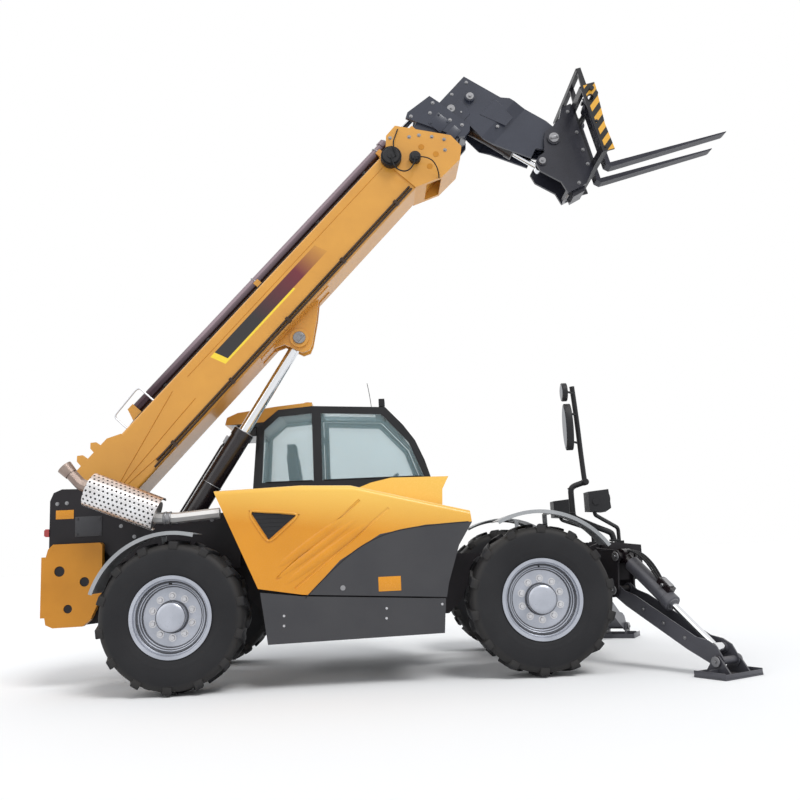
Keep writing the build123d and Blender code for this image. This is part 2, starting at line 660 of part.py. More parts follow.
def cab_roof_cap():
    """Moulded cap over the rear of the roof, with the heater unit under its overhang."""
    cap = [(203, 2400), (222, 2474), (330, 2520), (720, 2570), (1060, 2600), (1089, 2600), (1089, 2561.5),
           (742, 2534.5), (526, 2357.5), (500, 2387)]
    body = slab(cap, CAB_IN + 6, CAB_OUT - 6)
    body += block(300, 500, CAB_IN + 120, CAB_OUT - 120, 2290, 2392)
    return body


def roof_z(x):
    """Height of the roof's flat top at a distance forward."""
    (x0, z0), (x1, z1) = cab_outline()[3:5]
    return z0 + (z1 - z0) * (x - x0) / (x1 - x0)


def nose_z(x):
    """Height of the nose's sloping top."""
    return NOSE_TOP + SEAT_GAP - 40 * (x - NOSE_REAR_X) / (NOSE_X - NOSE_REAR_X)


def nose_flange(x, y):
    """Bolted foot of a post on the nose."""
    top = nose_z(x) + 22
    return slab([(x - 36, nose_z(x - 36)), (x + 36, nose_z(x + 36)), (x + 36, top), (x - 36, top)], y - 34, y + 34)


def roof_lamp():
    """Work lamp and small marker on the front of the roof."""
    x0, x1 = 1772.0, 1826.0
    lamp = block(x0, x1 + 6, CAB_IN + 70, CAB_IN + 170, 2540, 2620)
    foot = slab([(x0, roof_z(x0)), (x1, roof_z(x1)), (x1, 2541), (x0, 2541)], CAB_IN + 100, CAB_IN + 140)
    return lamp + foot


def cab_interior():
    """Seat on its pedestal, steering column with wheel, and the front console."""
    mid = (CAB_IN + CAB_OUT) / 2
    floor = CAB_FLOOR + CAB_WALL
    seat = block(850, 1290, mid - 170, mid + 170, floor, 1330)
    cushion = block(860, 1350, mid - 240, mid + 240, 1330, 1460)
    back = slab([(860, 1440), (980, 1440), (900, 2080), (800, 2080)], mid - 230, mid + 230)
    head = slab([(800, 2080), (900, 2080), (885, 2210), (800, 2210)], mid - 120, mid + 120)
    chair = seat + cushion + back + head
    console = slab([(1950, floor), (2190, floor), (2230, 1420), (2180, 1560), (1990, 1500)],
                   mid - 300, mid + 300)
    column = bar((2010, mid, 1480), (1800, mid, 1740), 30)
    tilt = Plane(origin=(1800, mid, 1740), z_dir=(-210, 0, 260))
    grip = extrude(RegularPolygon(200, 24) - RegularPolygon(172, 24), amount=26)
    wheel = tilt * Pos(0, 0, -13) * grip + tilt * Cylinder(45, 30)
    for turn in (90, 210, 330):
        spoke = tilt * Rot(0, 0, turn) * Pos(95, 0, 0) * Box(190, 26, 10)
        wheel += spoke
    return chair + console + column + wheel


def door():
    """Door frame of the cab's left side, with its window cut and the hinge barrels."""
    y0, y1 = CAB_OUT - CAB_WALL + DOOR_GAP, CAB_OUT
    edge = DOOR_GAP
    frame = [
        (PILLAR_X + 30 + edge, CAB_FLOOR + 50 + edge), (PILLAR_X + 30 + edge, 2505 - edge),
        (1805 - edge, 2468 - edge), (2092 - edge, 2150 - edge), (2236 - edge, 1753),
        (2256 - edge, 1420), (2214 - edge, CAB_FLOOR + 50 + edge),
    ]
    panel = slab(frame, y0, y1)
    upper, lower = door_windows()
    panel -= slab(upper, y0 - 1, y1 + 1) + slab(lower, y0 - 1, y1 + 1)
    panel += block(2020, 2150, y1, y1 + 26, 1560, 1590)
    for z in DOOR_HINGES:
        start, end = z + 40 + SEAT_GAP, z + 80
        panel += block(DOOR_PIVOT_X, DOOR_PIVOT_X + 50, y1 - 1, DOOR_PIVOT_Y, start, end)
        panel += bar((DOOR_PIVOT_X, DOOR_PIVOT_Y, start), (DOOR_PIVOT_X, DOOR_PIVOT_Y, end), 12)
        panel -= bar((DOOR_PIVOT_X, DOOR_PIVOT_Y, z), (DOOR_PIVOT_X, DOOR_PIVOT_Y, z + 90), HINGE_PIN_R + PIN_FIT)
    return panel


def door_windows():
    upper = [(1220, 1640), (1220, 2440), (1780, 2404), (2040, 2118), (2168, 1760), (2184, 1640)]
    lower = [(1220, 1150), (1220, 1580), (2190, 1580), (2184, 1400), (2150, 1150)]
    return upper, lower


def door_glass():
    upper, lower = door_windows()
    y = CAB_OUT - CAB_WALL / 2
    return pane(upper, y) + pane(lower, y)


def exhaust():
    """Exhaust from the hood's rear mouth to the tail pipe beside the boom."""
    y = -720
    pipe = bent_tube([(330, y, 1461), (-40, y, 1435), (-260, y, 1445), (-700, y, 1700)], 48, 90)
    drum = bar((-220, y, 1470), (-780, y, 1700), 118)
    tail = bent_tube([(-760, y, 1715), (-880, y, 1765), (-985, y, 1880)], 52, 90)
    bracket = block(-440, -380, -680, -FRAME_HALF, 1450, 1475)
    return pipe + drum + tail + bracket


def exhaust_shield():
    """Half-round perforated guard over the silencer."""
    y = -720
    outer = bar((-205, y, 1473), (-800, y, 1717), 152)
    inner = bar((-190, y, 1467), (-815, y, 1723), 146)
    shell = outer - inner - block(-1200, 300, y + 70, y + 400, 1000, 2200)
    for x, z in ((-330, 1525), (-690, 1673)):
        shell += block(x - 12, x + 12, y - 12, y + 12, z + 123.5, z + 160)
    return shell


def mirror_mast():
    """Bent post on the nose with two mirrors hung from it."""
    y = -560
    post = bent_tube([(3830, y, nose_z(3830) + 20), (3800, y, 1130), (3474, y, 1290), (3472, y, 1560),
                      (3606, y, 1604)], 20, 45)
    post += nose_flange(3830, y)
    post += cross(3606, 1604, 30, y - 40, y + 40)
    post += bar((3606, y, 1604), (3552, y - 20, 2480), 17)
    for z in (2420, 2220, 1960):
        post += bar((3565 + (2480 - z) * 0.04, y - 15, z), (3440, y - 130, z), 10)
    big = slab([(3425, 1890), (3425, 2300), (3470, 2310), (3490, 2100), (3470, 1880)], y - 250, y - 60)
    small = slab([(3420, 2328), (3420, 2490), (3458, 2500), (3466, 2410), (3458, 2320)], y - 230, y - 80)
    return post + big + small


def head_lamps():
    """A lamp cluster on a post at each side of the nose."""
    post = bent_tube([(3900, -470, nose_z(3900) + 20), (3900, -470, 1180), (3640, -700, 1300), (3620, -740, 1400)],
                     18, 45)
    post += nose_flange(3900, -470)
    pod = slab([(3560, 1330), (3560, 1500), (3740, 1516), (3752, 1350), (3700, 1318)], -840, -660)
    right = post + pod
    return right + mirrored(right)


# Boom, drawn level in its own frame: X along it from the pivot
def boom_base():
    """Outer section: box with raised rear cheeks, front collar and the lift cylinder's lug."""
    body = box_section(BASE_REAR, BASE_FRONT, BASE_HALF, BASE_BOTTOM, BASE_TOP, BASE_WALL)
    cheek = [(BASE_REAR, 200), (BASE_REAR, BASE_TOP + 68), (320, BASE_TOP + 68), (440, BASE_TOP), (440, 200)]
    side = BASE_HALF - BASE_WALL
    body += both(cheek, side, BASE_HALF)
    collar = [
        (BASE_FRONT - 260, BASE_BOTTOM), (BASE_FRONT, -266), (4683, -277), (4797, -198),
        (4815, -41), (4518, 450), (4374, 445), (4250, BASE_TOP), (4156, BASE_TOP),
    ]
    collar_out = BASE_HALF + 14
    ring = slab(collar, -collar_out, collar_out)
    throat = block(4000, 5000, -side, side, BASE_BOTTOM + BASE_WALL, BASE_TOP - BASE_WALL)
    saddle = block(4000, 5000, -BASE_HALF + 20, BASE_HALF - 20, BASE_TOP, 600)
    below = block(BASE_FRONT - 150, 4640, -side + 20, side - 20, -262, BASE_BOTTOM - 12)
    body += ring - throat - saddle - below
    pad_out = MID_HALF + SEAT_GAP
    pads = block(4480, 4480 + PAD_LENGTH, -side, side, BASE_BOTTOM + BASE_WALL, BASE_TOP - BASE_WALL)
    pads -= block(4400, 4800, -pad_out, pad_out, MID_BOTTOM - SEAT_GAP, MID_TOP + SEAT_GAP)
    body += pads
    gusset = [(2111, -200), (2165, -390), (2230, -425), (2300, -400), (2520, -262), (2695, BASE_BOTTOM + 3),
              (1980, BASE_BOTTOM + 3)]
    lug = slab(gusset, LUG_PLATE_IN, LUG_PLATE_IN + LUG_PLATE_T)
    lug += cross(LUG_A, LUG_H, 92, LUG_PLATE_IN, LUG_PLATE_IN + LUG_PLATE_T + 22)
    lug -= cross(LUG_A, LUG_H, LUG_PIN_R, 0, 200)
    body += lug + mirrored(lug)
    doubler = block(1850, 2830, LUG_PLATE_IN, 150, BASE_BOTTOM - 10, BASE_BOTTOM + 1)
    body += doubler + mirrored(doubler)
    boss = cross(0, 0, 88, BASE_HALF - BASE_WALL, PLATE_IN - SEAT_GAP)
    body += boss + mirrored(boss)
    body -= cross(0, 0, PIVOT_R + PIN_FIT, -PLATE_IN - 9, PLATE_IN + 9)
    for a, h in ((20, 470), (190, 462)):
        ear = slab([(a - 50, BASE_TOP + 40), (a - 40, h), (a, h + 36), (a + 40, h), (a + 50, BASE_TOP + 40)],
                   side, BASE_HALF)
        body += ear + mirrored(ear)
    tele_foot = slab([(TELE_START - 120, BASE_TOP - 1), (TELE_START - 60, TELE_H + 50),
                      (TELE_START + 10, TELE_H + 50), (TELE_START + 10, BASE_TOP - 1)], -90, 90)
    body += tele_foot
    for a in (2400, 4250):
        clamp = block(a - 30, a + 30, -84, 84, BASE_TOP - 1, TELE_H)
        clamp -= bar((a - 40, 0, TELE_H), (a + 40, 0, TELE_H), TELE_R + SEAT_GAP)
        body += clamp
    return BOOM * body


def boom_caps():
    """Two round sensor covers on the collar's right side."""
    out = -BASE_HALF - 14 - SEAT_GAP
    caps = cross(4220, 244, 104, out - 70, out) + cross(4379, 65, 58, out - 60, out)
    return BOOM * caps


def telescope_barrel():
    barrel = bar((TELE_START + 10.5, 0, TELE_H), (TELE_END, 0, TELE_H), TELE_R)
    barrel += bar((TELE_END - 60, 0, TELE_H), (TELE_END, 0, TELE_H), TELE_R + 13)
    barrel -= bar((TELE_START + TELE_BORE_START, 0, TELE_H), (TELE_END + 1, 0, TELE_H), TELE_ROD_R + 12)
    gland = bar((TELE_END - TELE_GLAND, 0, TELE_H), (TELE_END, 0, TELE_H), TELE_ROD_R + 13)
    gland -= bar((TELE_END - TELE_GLAND - 1, 0, TELE_H), (TELE_END + 1, 0, TELE_H), TELE_ROD_R + PIN_FIT)
    return BOOM * (barrel + gland)


def telescope_rod():
    start = TELE_START + TELE_BORE_START + RUN_GAP
    rod = bar((start, 0, TELE_H), (TELE_EYE_A, 0, TELE_H), TELE_ROD_R)
    rod += bar((start, 0, TELE_H), (start + TELE_PISTON, 0, TELE_H), TELE_ROD_R + 11)
    return BOOM * rod


def boom_pipes():
    """Pipes along the lower edge of the boom's right side, and the guard hoop at its rear."""
    pipes = None
    for i, h in enumerate((BASE_BOTTOM + 22, BASE_BOTTOM + 52)):
        y = -BASE_HALF - 12 - SEAT_GAP
        tube = bar((420 + 60 * i, y, h), (4120, y, h), 11)
        pipes = tube if pipes is None else pipes + tube
    for a in (700, 1500, 2300, 3100, 3900):
        pipes += block(a - 15, a + 15, -BASE_HALF - 26, -BASE_HALF - SEAT_GAP, BASE_BOTTOM + 4, BASE_BOTTOM + 70)
    y, foot = -BASE_HALF + 40, BASE_TOP + SEAT_GAP
    pipes += bent_tube([(510, y, foot), (510, y, 520), (870, y, 545), (870, y, foot)], 9, 40)
    return BOOM * pipes


def boom_mid():
    """Middle section with its head plates and rear wear pads."""
    body = box_section(MID_REAR, MID_FRONT, MID_HALF, MID_BOTTOM, MID_TOP, MID_WALL)
    head = [
        (4662, 430), (4720, 456), (5008, 406), (5019, 296), (5039, -110), (4990, -150),
        (4912, -153), (4868, -113),
    ]
    body += both(head, MID_HALF - MID_WALL, MID_HALF + 26)
    roof = slab([(4700, MID_TOP - 4), (4700, MID_TOP + 10), (5010, MID_TOP + 10), (5010, MID_TOP - 4)],
                -MID_HALF - 26, MID_HALF + 26)
    sole = slab([(4880, MID_BOTTOM - 14), (4880, MID_BOTTOM + 2), (5005, MID_BOTTOM + 2), (5005, MID_BOTTOM - 14)],
                -MID_HALF - 26, MID_HALF + 26)
    body += roof + sole
    bridge = block(TELE_EYE_A, TELE_EYE_A + 40, -MID_HALF - 20, MID_HALF + 20, MID_TOP - 1, TELE_H + 2)
    body += bridge & block(4600, 5000, -400, 400, 0, 426)
    rod_seat = block(TELE_EYE_A, TELE_EYE_A + 40, -55, 55, MID_TOP, TELE_H + 50)
    body += rod_seat
    bore = BASE_HALF - BASE_WALL - 0.5
    pads = block(MID_REAR, MID_REAR + PAD_LENGTH, -bore, bore, BASE_BOTTOM + BASE_WALL + 0.5,
                 BASE_TOP - BASE_WALL - 0.5)
    pads -= block(MID_REAR - 1, MID_REAR + PAD_LENGTH + 1, -MID_HALF + 2, MID_HALF - 2, MID_BOTTOM + 2, MID_TOP - 2)
    body += pads
    inside = MID_HALF - MID_WALL
    front_pads = block(4790, 4790 + PAD_LENGTH, -inside - 1, inside + 1, MID_BOTTOM + MID_WALL - 1, MID_TOP - MID_WALL + 1)
    front_pads -= block(4700, 5100, -INNER_HALF - SEAT_GAP, INNER_HALF + SEAT_GAP, INNER_BOTTOM - SEAT_GAP,
                        INNER_TOP + SEAT_GAP)
    body += front_pads
    return BOOM * body


def neck_outline():
    """Gooseneck in the boom's own frame, from the tube's end down to the carriage hinge."""
    return [
        (5000, INNER_TOP), (5435, INNER_TOP), (5510, -138), (5566, -213), (5586, -349), (5640, -650),
        (HINGE_A + 112, HINGE_H + 20), (HINGE_A + 70, HINGE_H - 84), (HINGE_A - 30, HINGE_H - 112),
        (HINGE_A - 120, HINGE_H - 40), (5336, -759), (5225, -790), (5116, -500), (5041, -290),
        (5060, INNER_BOTTOM), (5000, INNER_BOTTOM),
    ]


def neck_section(a0, a1, wide, narrow):
    """Section of the neck seen along the boom, wide at the tube and joggled in at the tip."""
    half = [(wide, INNER_TOP + 50), (wide, -270), (narrow, -400), (narrow, HINGE_H - 200)]
    ring = half + [(-y, h) for y, h in reversed(half)]
    wire = Polyline(*[(a0, y, h) for y, h in ring], close=True)
    return extrude(make_face(wire), amount=a1 - a0, dir=(1, 0, 0))


def boom_inner():
    """Inner section with the gooseneck: joggled side plates, a front plate and the tilt pin."""
    body = box_section(INNER_REAR, INNER_FRONT, INNER_HALF, INNER_BOTTOM, INNER_TOP, INNER_WALL)
    outline = neck_outline()
    neck = slab(outline, -400, 400) & neck_section(4990, 5700, INNER_HALF, TIP_HALF)
    t = 14
    cavity = [
        (4900, INNER_TOP - INNER_WALL), (5435 - t, INNER_TOP - INNER_WALL), (5510 - t, -138),
        (5566 - t, -213 - t), (5586 - t, -349), (5586 - t, -1100), (4900, -1100),
    ]
    neck -= slab(cavity, -400, 400) & neck_section(4890, 5701, INNER_HALF - 12, TIP_HALF - TIP_T)
    body += neck
    boss = cross(HINGE_A, HINGE_H, 96, TIP_HALF - 1, TIP_HALF + RUN_GAP)
    body += boss + mirrored(boss)
    body -= cross(HINGE_A, HINGE_H, HINGE_R + PIN_FIT, -400, 400)
    body -= block(TILT_BASE_A - 110, INNER_FRONT + 40, -94, 94, INNER_BOTTOM - 1, INNER_BOTTOM + INNER_WALL + 1)
    body += cross(TILT_BASE_A, TILT_BASE_H, TILT_PIN_R, -INNER_HALF + 2, INNER_HALF - 2)
    body += cross(5292, 99, 52, -INNER_HALF - 34, -INNER_HALF + 4)
    pads = block(INNER_REAR, INNER_REAR + PAD_LENGTH, -MID_HALF + MID_WALL + 0.5, MID_HALF - MID_WALL - 0.5,
                 MID_BOTTOM + MID_WALL + 0.5, MID_TOP - MID_WALL - 0.5)
    pads -= block(INNER_REAR - 1, INNER_REAR + PAD_LENGTH + 1, -INNER_HALF + 2, INNER_HALF - 2, INNER_BOTTOM + 2,
                  INNER_TOP - 2)
    body += pads
    return BOOM * body


# Cylinders, drawn along their own axis
def cylinder_barrel(length, radius, rod_r, pin_r, eye_half, bore_start):
    """Barrel with its base eye at the origin, hollow for the rod."""
    body = cross(0, 0, pin_r + 34, -eye_half, eye_half)
    body += bar((pin_r, 0, 0), (length, 0, 0), radius)
    body += bar((length - 70, 0, 0), (length, 0, 0), radius + 8)
    body -= cross(0, 0, pin_r + PIN_FIT, -eye_half - 1, eye_half + 1)
    body -= bar((bore_start, 0, 0), (length - 60, 0, 0), rod_r + 14)
    body -= bar((length - 61, 0, 0), (length + 1, 0, 0), rod_r + PIN_FIT)
    return body


def cylinder_rod(eye_at, length, rod_r, eye_r, eye_half, bore_r):
    """Rod with its piston at one end and an open eye at the other."""
    start = eye_at - length
    body = bar((start, 0, 0), (eye_at - eye_r + 8, 0, 0), rod_r)
    body += bar((start, 0, 0), (start + 60, 0, 0), rod_r + 13)
    body += cross(eye_at, 0, eye_r, -eye_half, eye_half)
    body -= cross(eye_at, 0, bore_r, -eye_half - 1, eye_half + 1)
    return body


def lift_barrel():
    body = cylinder_barrel(LIFT_BARREL_L, LIFT_BARREL_R, LIFT_ROD_R, LIFT_PIN_R, 110, 180)
    body += bent_tube([(300, 0, LIFT_BARREL_R + 8), (360, 0, LIFT_BARREL_R + 16), (1560, 0, LIFT_BARREL_R + 16),
                       (1640, 0, LIFT_BARREL_R - 4)], 11, 20)
    return LIFT * body


def lift_rod():
    return LIFT * cylinder_rod(LIFT_LENGTH, LIFT_ROD_L, LIFT_ROD_R, LIFT_EYE_R, LUG_PLATE_IN - 8, 30)


def tilt_barrel():
    return TILT * cylinder_barrel(TILT_BARREL_L, TILT_BARREL_R, TILT_ROD_R, TILT_PIN_R, 60, 110)


def tilt_rod():
    return TILT * cylinder_rod(TILT_LENGTH, TILT_ROD_L, TILT_ROD_R, 48, 42, 24)


# Carriage, drawn about its hinge: X forward along the forks, Z up along their shanks
def hitch():
    """Quick hitch: two cheeks with the hinge pin, the cylinder's ears and the lower lock."""
    outer = TIP_HALF + RUN_GAP + SEAT_GAP
    cheek = [
        (-100, 20), (-60, 96), (20, 120), (120, 190), (180, 300), (FRAME_P, 320), (FRAME_P, -420),
        (170, -560), (-40, -600), (-70, -470), (-240, -300), (-262, -200), (-215, -150), (-140, -120),
    ]
    body = both(cheek, outer, outer + HITCH_T)
    body += cross(0, 0, HINGE_R, -outer - 5, outer + 5)
    cap = cross(0, 0, 70, outer + HITCH_T - 1, outer + HITCH_T + 16)
    body += cap + mirrored(cap)
    ear_cap = cross(TILT_EYE_P, TILT_EYE_Q, 50, outer + HITCH_T - 1, outer + HITCH_T + 12)
    body += ear_cap + mirrored(ear_cap)
    reach = outer + 1
    body += block(FRAME_P - 30, FRAME_P, -reach, reach, -420, 320)
    body += slab([(-30, -592), (160, -556), (150, -520), (-36, -552)], -reach, reach)
    lock = slab([(20, -640), (150, -608), (172, -548), (20, -576)], -110, 110)
    return CARRIAGE * (body + lock)


def fork_frame():
    """Fork carriage: fork shaft between end plates, lower bar and the backrest above."""
    p = FRAME_P + SEAT_GAP
    half = FRAME_HALF_W
    body = cross(FORK_FACE_P - FORK_T / 2, SHAFT_Q, SHAFT_R, -half + 20, half - 20)
    body += block(p, p + 60, -half + 20, half - 20, -418, -352)
    body += block(p, p + 42, -half + 20, half - 20, 236, 300)
    end = [(p, 262), (p + 8, 300), (p + 150, 300), (p + 150, 250), (p + 112, -150), (p + 122, -424),
           (p, -424)]
    plate = slab(end, half - 20, half)
    plate -= cross(p + 62, 150, 30, half - 21, half + 1)
    body += plate + mirrored(plate)
    for y in (-half, -210, 195, half - 24):
        body += slab([(p + 10, 290), (p + 66, 290), (p + 66, 470), (p + 24, 484)], y, y + 24)
    body += block(p + 14, p + 66, -half, half, 448, 484)
    for y in (-160, 130):
        body += block(p, p + 26, y, y + 30, -360, 240)
    return CARRIAGE * body


def forks():
    """Two pallet forks hung on the shaft, heels bent and blades tapered to the tip."""
    face, top, t = FORK_FACE_P, FORK_TOP_Q, FORK_T
    heel = [(face - t, top + 30), (face - t, top - t + 40), (face - t + 42, top - t),
            (face + 60, top - t), (face + FORK_L - 20, top - 13), (face + FORK_L, top - 6), (face + FORK_L, top),
            (face, top)]
    shank = [(face - t, top - 10), (face, top - 10), (face, SHAFT_Q + 60), (face - t, SHAFT_Q + 60)]
    both_forks = None
    for y in (-FORK_Y, FORK_Y):
        fork = slab(heel, y - FORK_W / 2, y + FORK_W / 2) + slab(shank, y - FORK_W / 2, y + FORK_W / 2)
        fork += cross(face - t / 2, SHAFT_Q, SHAFT_R + 24, y - FORK_W / 2 + 10, y + FORK_W / 2 - 10)
        fork -= cross(face - t / 2, SHAFT_Q, SHAFT_R + PIN_FIT, y - FORK_W, y + FORK_W)
        both_forks = fork if both_forks is None else both_forks + fork
    return CARRIAGE * both_forks


# Right stabiliser, drawn along its leg from the leg's pin
def leg_half(a):
    return LEG_ROOT_HALF + (LEG_FOOT_HALF - LEG_ROOT_HALF) * min(max(a / LEG_LENGTH, 0), 1)


def stabiliser_leg():
    """Upward-open channel with a pin eye at its root and cheeks at the foot."""
    plan = [(-30, LEG_ROOT_HALF), (LEG_LENGTH + 40, LEG_FOOT_HALF)]
    ring = plan + [(a, -y) for a, y in reversed(plan)]
    tall = [(-46, -30), (-40, 40), (0, 58), (90, 40), (220, 62), (LEG_LENGTH - 260, 62),
            (LEG_LENGTH - 150, 96), (LEG_LENGTH - 60, 96), (LEG_LENGTH + 40, 34), (LEG_LENGTH + 44, -30),
            (LEG_LENGTH, -52), (LEG_LENGTH - 300, -72), (160, -72), (0, -56)]
    solid = slab(tall, -200, 200) & extrude(
        make_face(Polyline(*[(a, y, -300) for a, y in ring], close=True)), amount=600, dir=(0, 0, 1))
    wall = LEG_WALL
    inner = [(a, (abs(y) - wall) * (1 if y > 0 else -1)) for a, y in ring]
    inner = [(a + (-60 if a < 0 else 60), y) for a, y in inner]
    hollow = extrude(make_face(Polyline(*[(a, y, -60) for a, y in inner], close=True)), amount=400, dir=(0, 0, 1))
    leg = solid - hollow
    eye = cross(0, 0, 50, LEG_ROOT_HALF - wall - 6, LEG_ROOT_HALF - 1)
    leg += eye + mirrored(eye)
    leg -= cross(0, 0, LEG_PIN_R + PIN_FIT, -300, 300)
    foot_eye = cross(LEG_LENGTH, 0, 46, LEG_FOOT_HALF - 14, LEG_FOOT_HALF)
    leg += foot_eye + mirrored(foot_eye)
    leg -= cross(LEG_LENGTH, 0, LEG_PIN_R + PIN_FIT, -300, 300)
    boss = cross(LEG_EYE_L, LEG_EYE_N, 40, LEG_EYE_R + 14, LEG_FOOT_HALF - 8)
    leg += boss + mirrored(boss)
    return LEG * leg


def stabiliser_pad():
    """Foot plate with upturned edges, two gusset ears and the pin through them."""
    ear_in = LEG_FOOT_HALF + RUN_GAP
    plate = block(-FOOT_WIDTH / 2, FOOT_WIDTH / 2, -FOOT_LENGTH / 2, FOOT_LENGTH / 2, 0, FOOT_T)
    ear = slab([(-130, FOOT_T - 1), (-46, FOOT_PIN_Z + 8), (-20, FOOT_PIN_Z + 42), (20, FOOT_PIN_Z + 42),
                (46, FOOT_PIN_Z + 8), (130, FOOT_T - 1)], ear_in, ear_in + 16)
    rib = block(-8, 8, ear_in + 15, FOOT_LENGTH / 2 - 8, FOOT_T - 1, 64)
    pad = plate + ear + mirrored(ear) + rib + mirrored(rib)
    pad += cross(0, FOOT_PIN_Z, LEG_PIN_R, -ear_in - 26, ear_in + 26)
    return LEG_PLANE * Pos(LEG_REACH, 0, 0) * pad


def stabiliser_barrel():
    body = cylinder_barrel(LEG_BARREL_L, LEG_BARREL_R, LEG_ROD_R, LEG_PIN_R, 48, 100)
    valve = block(LEG_BARREL_L - 210, LEG_BARREL_L - 60, -34, 34, LEG_BARREL_R - 8, LEG_BARREL_R + 62)
    return LEG_CYL * (body + valve)


def stabiliser_rod():
    return LEG_CYL * cylinder_rod(LEG_CYL_LENGTH, LEG_ROD_L, LEG_ROD_R, LEG_EYE_R, 44, 22)


def assembly():
    """Every piece by its node name, in the machine's own frame."""
    parts = {
        "chassis_frame": chassis_frame(),
        "chassis_pins": chassis_pins(),
        "counterweight": counterweight(),
        "tail_lamps": tail_lamps(),
        "front_axle": Pos(WHEELBASE, 0, AXLE_Z) * axle(),
        "rear_axle": Pos(0, 0, AXLE_Z) * Rot(0, 0, 180) * axle(),
        "engine_block": engine_block(),
        "engine_bearers": engine_bearers(),
        "hood_rail": hood_rail(),
        "side_skirt": side_skirt(),
        "fuel_tank": fuel_tank(),
        "cab_steps": cab_steps(),
        "hood_cowl": hood(),
        "hood_lower_panel": hood_lower(),
        "cab_shell": cab_shell(),
        "cab_glass": cab_glass(),
        "cab_roof_cap": cab_roof_cap(),
        "roof_lamp": roof_lamp(),
        "cab_interior": cab_interior(),
        "door_frame": door(),
        "door_glass": door_glass(),
        "exhaust": exhaust(),
        "exhaust_shield": exhaust_shield(),
        "mirror_mast": mirror_mast(),
        "head_lamps": head_lamps(),
        "boom_base": boom_base(),
        "boom_caps": boom_caps(),
        "boom_pipes": boom_pipes(),
        "telescope_barrel": telescope_barrel(),
        "telescope_rod": telescope_rod(),
        "boom_mid": boom_mid(),
        "boom_inner": boom_inner(),
        "lift_barrel": lift_barrel(),
        "lift_rod": lift_rod(),
        "tilt_barrel": tilt_barrel(),
        "tilt_rod": tilt_rod(),
        "hitch": hitch(),
        "fork_frame": fork_frame(),
        "forks": forks(),
    }
    left_tyre, left_rim = tyre(), rim()
    wheel_y = TYRE_INNER_Y + TYRE_W / 2
    for end, x, radius, arc in (
        ("front", WHEELBASE, FRONT_FENDER_R, FRONT_FENDER_ARC),
        ("rear", 0, REAR_FENDER_R, REAR_FENDER_ARC),
    ):
        hub = Pos(x, KINGPIN_Y, AXLE_Z) * knuckle(radius, arc, end == "front")
        spot = Pos(x, wheel_y, AXLE_Z)
        for piece, shape in (("knuckle", hub), ("tyre", spot * left_tyre), ("rim", spot * left_rim)):
            parts[f"{piece}_{end}_left"] = shape
            parts[f"{piece}_{end}_right"] = mirrored(shape)
    for piece, shape in (
        ("leg", stabiliser_leg()), ("pad", stabiliser_pad()),
        ("leg_barrel", stabiliser_barrel()), ("leg_rod", stabiliser_rod()),
    ):
        parts[f"{piece}_right"] = shape
        parts[f"{piece}_left"] = mirrored(shape)
    return parts


PARTS = assembly()
_boxes = [shape.bounding_box() for shape in PARTS.values()]
ORIGIN_X = (min(b.min.X for b in _boxes) + max(b.max.X for b in _boxes)) / 2

os.makedirs("parts", exist_ok=True)
for node, shape in PARTS.items():
    export_step(Pos(-ORIGIN_X, 0, 0) * shape, f"parts/{node}.step")
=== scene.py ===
"""Looks of the telehandler: paint, rubber, glass, chrome, bolts, hoses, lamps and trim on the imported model.

Metres. Pieces are drawn in the frame of what carries them: the machine, the boom, the carriage,
a cylinder, a stabiliser or a wheel.
"""
import json
from contextlib import contextmanager
from math import cos, pi, radians, sin, tau

import bpy
from mathutils import Matrix, Vector


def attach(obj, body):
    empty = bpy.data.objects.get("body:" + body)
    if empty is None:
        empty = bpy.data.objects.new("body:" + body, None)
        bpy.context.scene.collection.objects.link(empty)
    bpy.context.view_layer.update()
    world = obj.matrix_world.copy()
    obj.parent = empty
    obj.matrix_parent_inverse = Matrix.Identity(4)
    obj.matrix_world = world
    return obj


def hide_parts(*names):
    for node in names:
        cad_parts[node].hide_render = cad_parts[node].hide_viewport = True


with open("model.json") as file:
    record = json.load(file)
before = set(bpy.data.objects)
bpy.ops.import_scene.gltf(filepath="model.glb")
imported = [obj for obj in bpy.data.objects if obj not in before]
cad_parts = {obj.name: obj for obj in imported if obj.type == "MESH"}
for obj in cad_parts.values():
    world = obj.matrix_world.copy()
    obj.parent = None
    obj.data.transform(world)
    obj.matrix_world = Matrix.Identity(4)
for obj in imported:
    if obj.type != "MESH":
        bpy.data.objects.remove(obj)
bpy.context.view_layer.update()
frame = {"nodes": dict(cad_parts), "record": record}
JOINT = {joint["name"]: joint for joint in frame["record"]["behaviour"]["joints"]}
SHIFT = -JOINT["steer_rear_left"]["pos_m"][0]
WHEELBASE = JOINT["steer_front_left"]["pos_m"][0] + SHIFT
AXLE_Z = 0.62


# Frames of the carriers
def frame_on(origin, along, side=(0, 1, 0)):
    """Frame at a point with X along a direction and Y to the side."""
    x = Vector(along).normalized()
    y = Vector(side).normalized()
    z = x.cross(y)
    turn = Matrix((x, y, z)).transposed().to_4x4()
    return Matrix.Translation(Vector(origin)) @ turn


def joint_frame(hinge, along, side=(0, 1, 0)):
    return frame_on(JOINT[hinge]["pos_m"], along, side)


